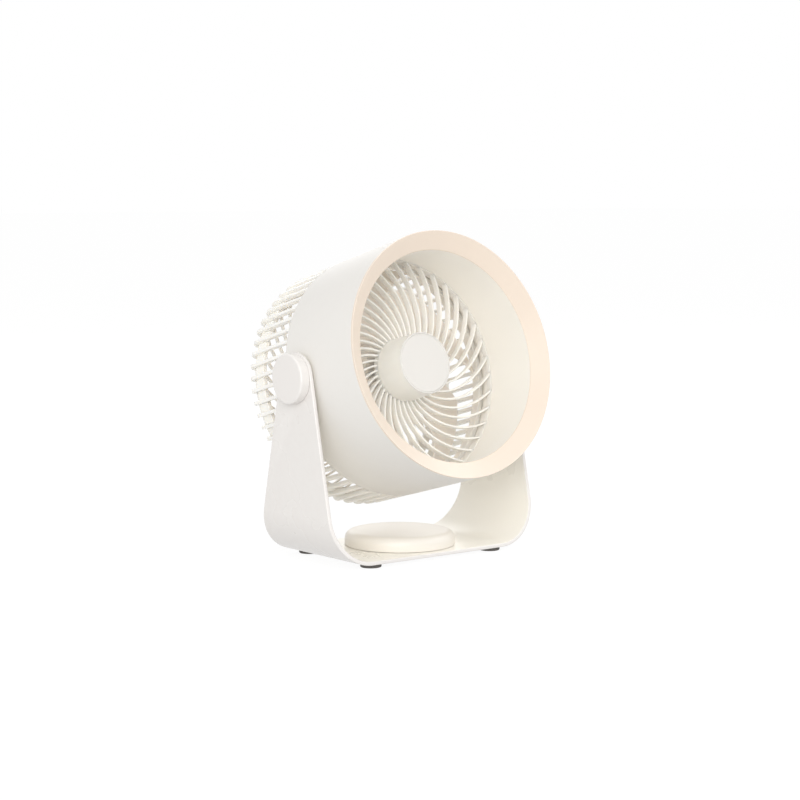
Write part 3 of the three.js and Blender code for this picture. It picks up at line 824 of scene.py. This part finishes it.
bezel = turned(
    "lip_and_nozzle",
    at_depths(
        [
            (NOZZLE_RADIUS, NOZZLE_END, 0.4),
            (BEZEL_RADIUS, NOZZLE_END),
            (BEZEL_RADIUS, NOZZLE_END - 2.5),
            (NOZZLE_RADIUS + BEZEL_WALL, NOZZLE_END - 3.5),
            (LIP_RADIUS + BEZEL_WALL + 0.8, LIP_DEPTH + 3),
            (BEZEL_RADIUS, DRUM_FRONT + 2),
            (BEZEL_RADIUS, DRUM_FRONT - 0.3),
            (DRUM_RADIUS, DRUM_FRONT - 0.3, 0.2),
            (DRUM_RADIUS, 0.1, 0.9),
            (LIP_RADIUS, LIP_DEPTH, 0.8),
        ]
    ),
    sides=240,
)
settle(bezel, HEAD)
fit(bezel, "head", "bezel", peach_moulding, "front_bezel")
paint_shading_on(bezel, inner_painted_light, lambda face: middle_of(face)[1] > LIP_DEPTH + 0.6)


# ---- Front guard ----
# Forty thin ribs spiral out from the hub ring to a rim that is trapped between bezel and drum.
# One rib is drawn out along its curve, with rounded corners, and then copied round.

GUARD_FRONT = 67.7
GUARD_BACK = 73.3
GUARD_RIBS = 40
GUARD_RIB = 1.7
GUARD_TWIST = math.radians(0.64)
FIRST_ANGLE = math.radians(4.5)
RIB_CORNER = 0.6
HUB_RADIUS = 26.1
GUARD_INNER = 22.1
RIM_GAP = 0.2

grille_moulding = skinned(
    "grille_moulding",
    colour=srgb(254, 251, 243),
    worn=srgb(254, 252, 247),
    roughness=0.36,
    clouds=0.025,
    grain=1300,
    depth=0.08,
    dust=0.04,
    milky=0.3,
)


def drawn_out(name, path, width, height, corner):
    """A bar of rounded oblong section that follows a path lying flat in X and Y."""
    before = path[:1] + path[:-1]
    after = path[1:] + path[-1:]
    headings = [(end - start).normalized() for start, end in zip(before, after)]
    shut()
    bpy.ops.mesh.primitive_plane_add(
        size=1,
        location=path[0],
        rotation=headings[0].to_track_quat("Z", "Y").to_euler(),
    )
    bpy.context.object.scale = (width, height, 1)
    bpy.ops.object.transform_apply(location=True, rotation=True, scale=True)
    bar = open_new(name)
    bpy.ops.mesh.select_mode(type="VERT")
    bpy.ops.mesh.bevel(offset=corner, segments=2, affect="VERTICES")
    bpy.ops.mesh.select_mode(type="FACE")
    bpy.ops.mesh.select_all(action="SELECT")
    for step in range(1, len(path)):
        onward = {"value": path[step] - path[step - 1]}
        bpy.ops.mesh.extrude_region_move(TRANSFORM_OT_translate=onward)
        last, heading = headings[step - 1 : step + 1]
        bend = math.atan2(last.cross(heading).z, last.dot(heading))
        bpy.ops.transform.rotate(value=-bend, orient_axis="Z", center_override=path[step])
    clean_up()
    return bar


def copied_round(count):
    """Copies all of the open piece round the fan's axis."""
    bpy.ops.mesh.select_all(action="SELECT")
    bpy.ops.mesh.spin(
        steps=count - 1,
        dupli=True,
        angle=math.tau * (count - 1) / count,
        center=(0, 0, 0),
        axis=(0, 0, 1),
    )


def joined(name, *pieces):
    """Makes several shapes one piece, named after what they form."""
    shut()
    for piece in pieces:
        piece.select_set(True)
    bpy.context.view_layer.objects.active = pieces[0]
    bpy.ops.object.join()
    pieces[0].name = name
    return pieces[0]


def spiral(inner, outer, twist, height, steps=14):
    """Points on a curve that turns steadily on its way out and ends at the first rib's angle."""
    points = []
    for step in range(steps + 1):
        reach = inner + (outer - inner) * step / steps
        turn = FIRST_ANGLE + twist * (reach - outer)
        points.append(Vector((reach * math.cos(turn), reach * math.sin(turn), height)))
    return points


guard_middle = RIM_AHEAD - (GUARD_FRONT + GUARD_BACK) / 2
rib = drawn_out(
    "rib",
    spiral(HUB_RADIUS - 1.5, NOZZLE_RADIUS + 1, GUARD_TWIST, guard_middle),
    width=GUARD_RIB,
    height=GUARD_BACK - GUARD_FRONT,
    corner=RIB_CORNER,
)
copied_round(GUARD_RIBS)
rim = turned(
    "rim",
    at_depths(
        [
            (NOZZLE_RADIUS - 0.3, GUARD_FRONT, 0.3),
            (BEZEL_RADIUS - RIM_GAP, GUARD_FRONT),
            (BEZEL_RADIUS - RIM_GAP, GUARD_BACK),
            (NOZZLE_RADIUS - 0.3, GUARD_BACK, 0.5),
        ]
    ),
    sides=200,
)
hub_ring = turned(
    "hub_ring",
    at_depths(
        [
            (GUARD_INNER, GUARD_FRONT),
            (HUB_RADIUS - RIM_GAP, GUARD_FRONT),
            (HUB_RADIUS - RIM_GAP, GUARD_BACK, 0.6),
            (GUARD_INNER, GUARD_BACK, 0.6),
        ]
    ),
)
guard = joined("spiral_guard", rib, rim, hub_ring)
settle(guard, HEAD)
fit(guard, "head", "grille", grille_moulding, "front_guard")


# ---- Hub ----
# A tapered moulded cylinder stands on the guard's hub ring, and a pale flat disc snaps into its
# front. They hide the impeller's nut and don't turn. The cylinder's front edge is painted in the
# disc's darker colour, as painted shade that dims its edge highlight.

HUB_FRONT = 38.2
HUB_TAPER = 0.8
HUB_LIP = 1.3
HUB_LEDGE = 2.6

hub_front_radius = HUB_RADIUS - HUB_TAPER
shroud = turned(
    "hub_cylinder",
    at_depths(
        [
            (HUB_RADIUS - 2.2, NOZZLE_END),
            (HUB_RADIUS, NOZZLE_END, 0.2),
            (hub_front_radius, HUB_FRONT, 0.6),
            (hub_front_radius - HUB_LIP, HUB_FRONT, 0.3),
            (hub_front_radius - HUB_LIP, HUB_FRONT + HUB_LEDGE),
            (hub_front_radius - 3, HUB_FRONT + HUB_LEDGE),
            (hub_front_radius - 3, HUB_FRONT + 5),
        ]
    ),
)
settle(shroud, HEAD)
fit(shroud, "head", "grille", grille_moulding, "hub_shroud")

disc_and_painted_shade = skinned(
    "disc_and_painted_shade",
    colour=srgb(221, 218, 213),
    worn=srgb(244, 242, 238),
    roughness=0.36,
    clouds=0.02,
    grain=1600,
    depth=0.05,
    dust=0.02,
)

disc_radius = hub_front_radius - HUB_LIP - 0.15
disc_back = HUB_FRONT + HUB_LEDGE - CLEARANCE
disc = turned(
    "hub_disc",
    at_depths(
        [
            (hub_front_radius - 12, disc_back),
            (disc_radius, disc_back),
            (disc_radius, HUB_FRONT + 0.1, 0.35),
            (hub_front_radius - 12, HUB_FRONT + 0.1),
        ]
    ),
    capped=True,
)
settle(disc, HEAD)
fit(disc, "head", "cap", disc_and_painted_shade, "hub_cap")
# Painted shade: the cylinder's front edge takes the disc's darker colour, which dims its edge
# highlight.
paint_shading_on(shroud, disc_and_painted_shade, lambda face: middle_of(face)[1] < HUB_FRONT + 0.9)


# ---- Rear cage ----
# Sixty moulded bars carry on the drum's side and hook round the rear corner. They stand on two
# hoops: the front one slides into the drum, and the rear one has three bosses for screws.

CAGE_BARS = 60
CAGE_BAR = 3
CAGE_OUTSIDE = 99.8
CAGE_INSIDE = 96.2
BACK_DEPTH = 146.5
BACK_CORNER = 6.8
BACK_RADIUS = 92.2
HOOP_INSIDE = 92.8
FRONT_HOOP = (84, DRUM_BACK + 1.5)
REAR_HOOP = (128, 139)
BAR_CORNER = 0.5
CORNER_STEPS = 6
BOSS_RADIUS = 3.8
GRILLE_SCREWS = 89.2
GRILLE_THICKNESS = 3.4

bar_reach = (CAGE_OUTSIDE + CAGE_INSIDE) / 2
bar_depth = CAGE_OUTSIDE - CAGE_INSIDE
corner_height = RIM_AHEAD - BACK_DEPTH + BACK_CORNER
corner_reach = CAGE_OUTSIDE - BACK_CORNER
corner_round = BACK_CORNER - bar_depth / 2
corner_turns = [math.pi / 2 * step / CORNER_STEPS for step in range(CORNER_STEPS + 1)]
bar_path = [Vector((bar_reach, RIM_AHEAD - DRUM_BACK - CLEARANCE, 0))]
bar_path += [
    Vector(
        (
            corner_reach + corner_round * math.cos(turn),
            corner_height - corner_round * math.sin(turn),
            0,
        )
    )
    for turn in corner_turns
]
bar_path.append(Vector((BACK_RADIUS + 0.4, corner_height - corner_round, 0)))
bar = drawn_out("bar", bar_path, width=bar_depth, height=CAGE_BAR, corner=BAR_CORNER)
bpy.ops.mesh.select_all(action="SELECT")
bpy.ops.transform.rotate(value=-math.pi / 2, orient_axis="X", center_override=(0, 0, 0))
bpy.ops.transform.rotate(value=-FIRST_ANGLE, orient_axis="Z", center_override=(0, 0, 0))
copied_round(CAGE_BARS)


def hoop(name, outside, front, back):
    """A flat ring of the cage with rounded edges."""
    return turned(
        name,
        at_depths(
            [
                (HOOP_INSIDE, back, BAR_CORNER),
                (outside, back, BAR_CORNER),
                (outside, front, BAR_CORNER),
                (HOOP_INSIDE, front, BAR_CORNER),
            ]
        ),
        sides=180,
    )


grille_screw_places = [
    (GRILLE_SCREWS * math.cos(turn), GRILLE_SCREWS * math.sin(turn))
    for turn in (math.radians(90), math.radians(210), math.radians(330))
]
boss_back = RIM_AHEAD - BACK_DEPTH + GRILLE_THICKNESS + CLEARANCE
boss_front = RIM_AHEAD - REAR_HOOP[0] - 2
bosses = []
for x, y in grille_screw_places:
    shut()
    bpy.ops.mesh.primitive_cylinder_add(
        vertices=32,
        radius=BOSS_RADIUS,
        depth=boss_front - boss_back,
        location=(x, y, (boss_front + boss_back) / 2),
    )
    bosses.append(bpy.context.object)
    bpy.ops.object.transform_apply(location=True)
cage = joined(
    "cage_bars",
    bar,
    hoop("front_hoop", CAGE_INSIDE + 0.8, *FRONT_HOOP),
    hoop("rear_hoop", CAGE_INSIDE + 0.3, *REAR_HOOP),
    *bosses,
)
settle(cage, HEAD)
fit(cage, "head", "grille", grille_moulding, "rear_cage")


# ---- Rear grille ----
# A flat moulding closes the back: forty ribs spiral the other way between a screwed rim and the
# pot that carries motor and controls.

BACK_RIBS = 40
BACK_RIB = 1.9
BACK_TWIST = math.radians(-0.72)
RIM_WIDTH = 6.4
POT_RADIUS = 38
POT_WALL = 2
POT_FRONT = 122
PARTITION = 134
PARTITION_WALL = 2.5
WIRE_HOLE = 3.2
SCREW_HOLE = 1.6
HEAD_SINK = 2.6
SINK_FLOOR = BACK_DEPTH - 1.6
BOARD_DEPTH = 140
BOARD_LEDGE = 3
BEHIND = 150

back_middle = RIM_AHEAD - BACK_DEPTH + GRILLE_THICKNESS / 2
rib = drawn_out(
    "back_rib",
    spiral(POT_RADIUS - 1, BACK_RADIUS - RIM_WIDTH + 1, BACK_TWIST, back_middle),
    width=BACK_RIB,
    height=GRILLE_THICKNESS,
    corner=RIB_CORNER,
)
copied_round(BACK_RIBS)
rim = turned(
    "back_rim",
    at_depths(
        [
            (BACK_RADIUS - RIM_WIDTH, BACK_DEPTH, 0.6),
            (BACK_RADIUS, BACK_DEPTH, 0.3),
            (BACK_RADIUS, BACK_DEPTH - GRILLE_THICKNESS),
            (BACK_RADIUS - RIM_WIDTH, BACK_DEPTH - GRILLE_THICKNESS, 0.6),
        ]
    ),
    sides=180,
)
for x, y in grille_screw_places:
    for radius, end in ((SCREW_HOLE, BOARD_DEPTH), (HEAD_SINK, SINK_FLOOR)):
        behind, within = (Vector((x, y, RIM_AHEAD - depth)) for depth in (BEHIND, end))
        drill(rim, radius, behind, within, sides=32)
pot_inside = POT_RADIUS - POT_WALL
pot = turned(
    "pot",
    at_depths(
        [
            (WIRE_HOLE, PARTITION + PARTITION_WALL),
            (pot_inside - BOARD_LEDGE, PARTITION + PARTITION_WALL),
            (pot_inside - BOARD_LEDGE, BOARD_DEPTH - CLEARANCE),
            (pot_inside, BOARD_DEPTH - CLEARANCE),
            (pot_inside, BACK_DEPTH, 0.3),
            (POT_RADIUS, BACK_DEPTH, 0.6),
            (POT_RADIUS, POT_FRONT, 0.6),
            (pot_inside, POT_FRONT, 0.6),
            (pot_inside, PARTITION),
            (WIRE_HOLE, PARTITION),
        ]
    ),
)
back = joined("spiral_back", rib, rim, pot)
settle(back, HEAD)
fit(back, "head", "grille", grille_moulding, "rear_grille")

for number, (x, y) in enumerate(grille_screw_places, 1):
    screw = pan_screw(
        f"pan_grille_screw_{number}",
        head_radius=2.2,
        head_height=1.1,
        shank_radius=1,
        length=13.3,
    )
    settle(screw, HEAD @ Matrix.Translation(Vector((x, y, RIM_AHEAD - BACK_DEPTH + 0.2)) * MM))
    fit(screw, "head", "steel", plated_steel, f"grille_screw_{number}")


# ---- Rear cover and its controls ----
# A smooth disc closes the pot. It has a round push button, a small light and an oblong power
# inlet, which all sit on the board behind it.

COVER_DEPTH = BACK_DEPTH + 0.4
COVER_RADIUS = 35.7
COVER_WALL = 2
HOLE_EDGE = 0.25
HOLE_GAP = 0.4
BOARD = 1.4
BUTTON_Y = 9
BUTTON_FACE = COVER_DEPTH + 1.2
BUTTON_RADIUS = 6.6
BUTTON_WALL = 1.2
SKIRT_END = 146
STEM_END = 145.4
STEM_RADIUS = 1.5
LIGHT_Y = -3.5
LIGHT_RADIUS = 1.1
LIGHT_END = 142
INLET_Y = -14
INLET_WIDTH = 9
INLET_HEIGHT = 3.4
INLET_WALL = 0.5
INLET_FLOOR = 0.8
TONGUE_WIDTH = 6.2
TONGUE_HEIGHT = 0.7
TONGUE_EDGE = 0.15

light_guide = skinned(
    "light_guide",
    colour=srgb(226, 236, 228),
    worn=srgb(240, 246, 241),
    roughness=0.15,
    clouds=0.02,
    grain=600,
    depth=0.02,
    dust=0.02,
    lacquer=0.6,
)


def oblong(name, width, height, back, front):
    """A rod of round-ended oblong section along the fan's axis, at the inlet."""
    shut()
    bpy.ops.mesh.primitive_cube_add(
        size=1,
        location=(0, INLET_Y, RIM_AHEAD - (back + front) / 2),
        scale=(width, height, back - front),
    )
    bpy.ops.object.transform_apply(location=True, scale=True)
    rod = open_new(name)
    pick_edges(rod, lambda edge: abs((edge.verts[0].co - edge.verts[1].co).z) > 0.5)
    bpy.ops.mesh.bevel(offset=height * 0.499, segments=8, profile=0.5, affect="EDGES")
    return rod


board_back = BOARD_DEPTH + BOARD + CLEARANCE
cover = turned(
    "cover_disc",
    at_depths(
        [
            (COVER_RADIUS - 12, COVER_DEPTH),
            (COVER_RADIUS, COVER_DEPTH, 0.8),
            (COVER_RADIUS, board_back),
            (COVER_RADIUS - COVER_WALL, board_back),
            (COVER_RADIUS - COVER_WALL, COVER_DEPTH - COVER_WALL),
            (COVER_RADIUS - 12, COVER_DEPTH - COVER_WALL),
        ]
    ),
    capped=True,
)
for radius, y in ((BUTTON_RADIUS + HOLE_GAP, BUTTON_Y), (LIGHT_RADIUS + CLEARANCE, LIGHT_Y)):
    behind, within = (Vector((0, y, RIM_AHEAD - depth)) for depth in (BEHIND, LIGHT_END))
    drill(cover, radius, behind, within, sides=64)
hole = (INLET_WIDTH + 2 * HOLE_GAP, INLET_HEIGHT + 2 * HOLE_GAP)
cut_with(cover, oblong("inlet_hole", *hole, BEHIND, LIGHT_END))
round_edges(cover, HOLE_EDGE, 2, sharper_than=60)
settle(cover, HEAD)
fit(cover, "head", "cap", smooth_moulding, "rear_cover")

button = turned(
    "push_button",
    at_depths(
        [
            (STEM_RADIUS, STEM_END),
            (STEM_RADIUS, BUTTON_FACE - 1.4),
            (BUTTON_RADIUS - BUTTON_WALL, BUTTON_FACE - 1.4),
            (BUTTON_RADIUS - BUTTON_WALL, SKIRT_END),
            (BUTTON_RADIUS, SKIRT_END),
            (BUTTON_RADIUS, BUTTON_FACE, 0.7),
            (5, BUTTON_FACE - 0.05),
            (2.5, BUTTON_FACE - 0.3),
        ]
    ),
    sides=80,
    capped=True,
)
settle(button, HEAD @ Matrix.Translation((0, BUTTON_Y * MM, 0)))
fit(button, "button", "cap", smooth_moulding, "speed_button")

light = turned(
    "light_pin",
    at_depths(
        [
            (0.8, LIGHT_END),
            (LIGHT_RADIUS, LIGHT_END),
            (LIGHT_RADIUS, COVER_DEPTH, 0.4),
            (0.4, COVER_DEPTH),
        ]
    ),
    sides=40,
    capped=True,
)
settle(light, HEAD @ Matrix.Translation((0, LIGHT_Y * MM, 0)))
fit(light, "head", "light", light_guide, "status_light")

shell = oblong("inlet_shell", INLET_WIDTH, INLET_HEIGHT, BACK_DEPTH, board_back)
mouth = (INLET_WIDTH - 2 * INLET_WALL, INLET_HEIGHT - 2 * INLET_WALL)
cut_with(shell, oblong("inlet_mouth", *mouth, BACK_DEPTH + 1, board_back + INLET_FLOOR))
shut()
bpy.ops.mesh.primitive_cube_add(
    size=1,
    location=(0, INLET_Y, RIM_AHEAD - (BACK_DEPTH - INLET_FLOOR + board_back) / 2),
    scale=(TONGUE_WIDTH, TONGUE_HEIGHT, BACK_DEPTH - INLET_FLOOR - board_back),
)
tongue = bpy.context.object
bpy.ops.object.transform_apply(location=True, scale=True)
round_edges(tongue, TONGUE_EDGE, 2, sharper_than=30)
inlet = joined("power_socket", shell, tongue)
settle(inlet, HEAD)
fit(inlet, "head", "steel", plated_steel, "power_inlet")


# ---- Impeller ----
# Five broad blades wrap round a cup-shaped hub, swept back and flatter towards their tips. One
# blade is drawn from its root outwards, station by station, then thickened and copied.

BLADES = 5
BLADE_TIP = 90.6
BLADE_DEPTH = 98
BLADE_WRAP = math.radians(62)
BLADE_SWEEP = math.radians(-24)
FIRST_BLADE = math.radians(50)
BLADE_CAMBER = 3.5
ROOT_CHORD = 30
TIP_CHORD = 28
TIP_NARROWING = 0.06
BLADE_WALL = 1.8
BLADE_EDGE = 0.7
CHORD_STEPS = 16
SPAN_STEPS = 14
IMPELLER_RADIUS = 31
IMPELLER_FRONT = 80
IMPELLER_BACK = 118
IMPELLER_WALL = 2
HUB_FLOOR = IMPELLER_FRONT + 2.6
HUB_ROUND = 4
SHAFT_HOLE = 2.3
SHAFT_BOSS = 5.5
BOSS_END = 96

blade_moulding = skinned(
    "blade_moulding",
    colour=srgb(253, 241, 230),
    worn=srgb(254, 248, 240),
    roughness=0.3,
    clouds=0.02,
    grain=1400,
    depth=0.04,
    dust=0.03,
    milky=0.5,
)


def chord_depth(share):
    """Depth of the blade's root line at a share of its wrap, from -0.5 at the front edge."""
    return BLADE_DEPTH + ROOT_CHORD * share + BLADE_CAMBER * (1 - 4 * share * share)


def turn_about_axis(angle):
    """Turns what is selected clockwise about the fan's axis."""
    bpy.ops.transform.rotate(value=angle, orient_axis="Z", center_override=(0, 0, 0))


blade_middle = (0, 0, RIM_AHEAD - BLADE_DEPTH)
root = IMPELLER_RADIUS - 1
shut()
bpy.ops.mesh.primitive_plane_add(size=1)
blade = open_new("blade")
bpy.ops.mesh.select_mode(type="VERT")
bpy.ops.mesh.merge(type="CENTER")
bpy.ops.transform.translate(value=(root, 0, RIM_AHEAD - chord_depth(-0.5)))
turn_about_axis(BLADE_WRAP / 2 - FIRST_BLADE)
for step in range(CHORD_STEPS):
    share = step / CHORD_STEPS - 0.5
    rise = chord_depth(share) - chord_depth(share + 1 / CHORD_STEPS)
    bpy.ops.mesh.extrude_vertices_move(TRANSFORM_OT_translate={"value": (0, 0, rise)})
    turn_about_axis(-BLADE_WRAP / CHORD_STEPS)
bpy.ops.mesh.select_mode(type="EDGE")
bpy.ops.mesh.select_all(action="SELECT")
reach, chord, sweep = root, ROOT_CHORD, 0
for step in range(1, SPAN_STEPS + 1):
    share = step / SPAN_STEPS
    next_reach = root + (BLADE_TIP - root) * share
    straight_chord = ROOT_CHORD + (TIP_CHORD - ROOT_CHORD) * share
    next_chord = straight_chord * (1 - TIP_NARROWING * share**8)
    next_sweep = BLADE_SWEEP * share * share
    growth = next_reach / reach
    bpy.ops.mesh.extrude_edges_move(TRANSFORM_OT_translate={"value": (0, 0, 0)})
    bpy.ops.transform.resize(
        value=(growth, growth, next_chord / chord),
        center_override=blade_middle,
    )
    turn_about_axis(sweep - next_sweep)
    reach, chord, sweep = next_reach, next_chord, next_sweep
modify(blade, "SOLIDIFY", thickness=BLADE_WALL, offset=0)
round_edges(blade, BLADE_EDGE, EDGE_STEPS, sharper_than=50)
bpy.ops.object.mode_set(mode="EDIT")
clean_up()
copied_round(BLADES)
hub_inside = IMPELLER_RADIUS - IMPELLER_WALL
hub = turned(
    "impeller_hub",
    at_depths(
        [
            (SHAFT_HOLE, BOSS_END),
            (SHAFT_BOSS, BOSS_END, 0.4),
            (SHAFT_BOSS, HUB_FLOOR),
            (hub_inside - 3, HUB_FLOOR),
            (hub_inside, IMPELLER_FRONT + 6),
            (hub_inside, IMPELLER_BACK),
            (IMPELLER_RADIUS, IMPELLER_BACK, 0.5),
            (IMPELLER_RADIUS, IMPELLER_FRONT, HUB_ROUND),
            (SHAFT_HOLE, IMPELLER_FRONT),
        ]
    ),
)
impeller = joined("five_blades", blade, hub)
settle(impeller, HEAD)
fit(impeller, "spinner", "blade", blade_moulding, "impeller")


# ---- Motor and board ----
# The brushless motor stands on the pot's partition inside the impeller's hub, and the control
# board lies behind it. They show only in glimpses, so their CAD shapes stay.

copper = skinned(
    "coated_copper",
    colour=srgb(150, 92, 50),
    worn=srgb(186, 120, 72),
    roughness=0.35,
    clouds=0.3,
    grain=2000,
    depth=0.3,
    dust=0.1,
)
solder_mask = skinned(
    "solder_mask",
    colour=srgb(44, 92, 62),
    worn=srgb(70, 118, 86),
    roughness=0.3,
    clouds=0.2,
    grain=1800,
    depth=0.2,
    dust=0.1,
)

refinish(plated_steel, "motor_base", "motor_screw_1", "motor_screw_2", "motor_screw_3")
refinish(plated_steel, "bearing_front", "bearing_rear", "rotor_bell", "motor_shaft")
refinish(plated_steel, "tact_switch")
refinish(copper, "stator")
refinish(solder_mask, "control_board")
refinish(nylon, "impeller_nut")


# ---- Floor and light ----
# A plain white floor and an even pale sky, which both look brighter than the light that they
# shed. Two strong soft lamps stand at the front left, and weaker ones above, at the right and
# behind.

FLOOR_SIZE = 40
FLOOR_GREY = 0.13
FLOOR_ROUGHNESS = 0.9
FLOOR_SEEN = 0.9
FLOOR_GLOW = 0.57
SKY_SEEN = 1
SKY_GLOW = 0.72


def seen_or_shed(tree, seen, shed):
    """One strength where a surface is looked at, also in gloss or through glass, and another
    for the light that it sheds on the fan."""
    rays = add_node(tree, "ShaderNodeLightPath", {}).outputs
    looked_at = worked(tree, "MAXIMUM", rays["Is Camera Ray"], rays["Is Glossy Ray"])
    looked_at = worked(tree, "MAXIMUM", looked_at, rays["Is Transmission Ray"])
    return worked(tree, "ADD", worked(tree, "MULTIPLY", looked_at, seen - shed), shed)


shut()
bpy.ops.mesh.primitive_plane_add(size=FLOOR_SIZE)
floor = bpy.context.object
floor.name = "floor"
floor_white = bpy.data.materials.new("floor_white")
floor_white.use_nodes = True
floor_tree = floor_white.node_tree
floor_shader = floor_tree.nodes["Principled BSDF"]
floor_shader.inputs["Base Color"].default_value = (FLOOR_GREY, FLOOR_GREY, FLOOR_GREY, 1)
floor_shader.inputs["Roughness"].default_value = FLOOR_ROUGHNESS
floor_shader.inputs["Specular IOR Level"].default_value = 0
floor_shader.inputs["Emission Color"].default_value = (1, 1, 1, 1)
floor_strength = seen_or_shed(floor_tree, FLOOR_SEEN, FLOOR_GLOW)
floor_tree.links.new(floor_strength, floor_shader.inputs["Emission Strength"])
floor.data.materials.append(floor_white)

world = bpy.data.worlds.new("pale_sky")
bpy.context.scene.world = world
world.use_nodes = True
sky = world.node_tree.nodes["Background"]
sky.inputs["Color"].default_value = (1, 1, 1, 1)
sky_strength = seen_or_shed(world.node_tree, SKY_SEEN, SKY_GLOW)
world.node_tree.links.new(sky_strength, sky.inputs["Strength"])

for name, place, size, power in (
    ("key_light", (-1.37, -1.75, 1.02), 1.2, 17),
    ("low_light", (-1.96, -1.37, 0.29), 1.2, 14),
    ("high_light", (0.53, -1.45, 1.96), 1.1, 4),
    ("side_light", (1.43, -1.71, 1.02), 1.1, 4),
    ("right_light", (1.81, -0.32, 1.67), 1.1, 10),
    ("back_light", (1.11, 1.93, 1.02), 1.1, 6),
):
    bpy.ops.object.light_add(
        type="AREA",
        location=place,
        rotation=(Vector(place) - AIM).to_track_quat("Z", "Y").to_euler(),
    )
    lamp = bpy.context.object
    lamp.name = name
    lamp.data.size = size
    lamp.data.energy = power
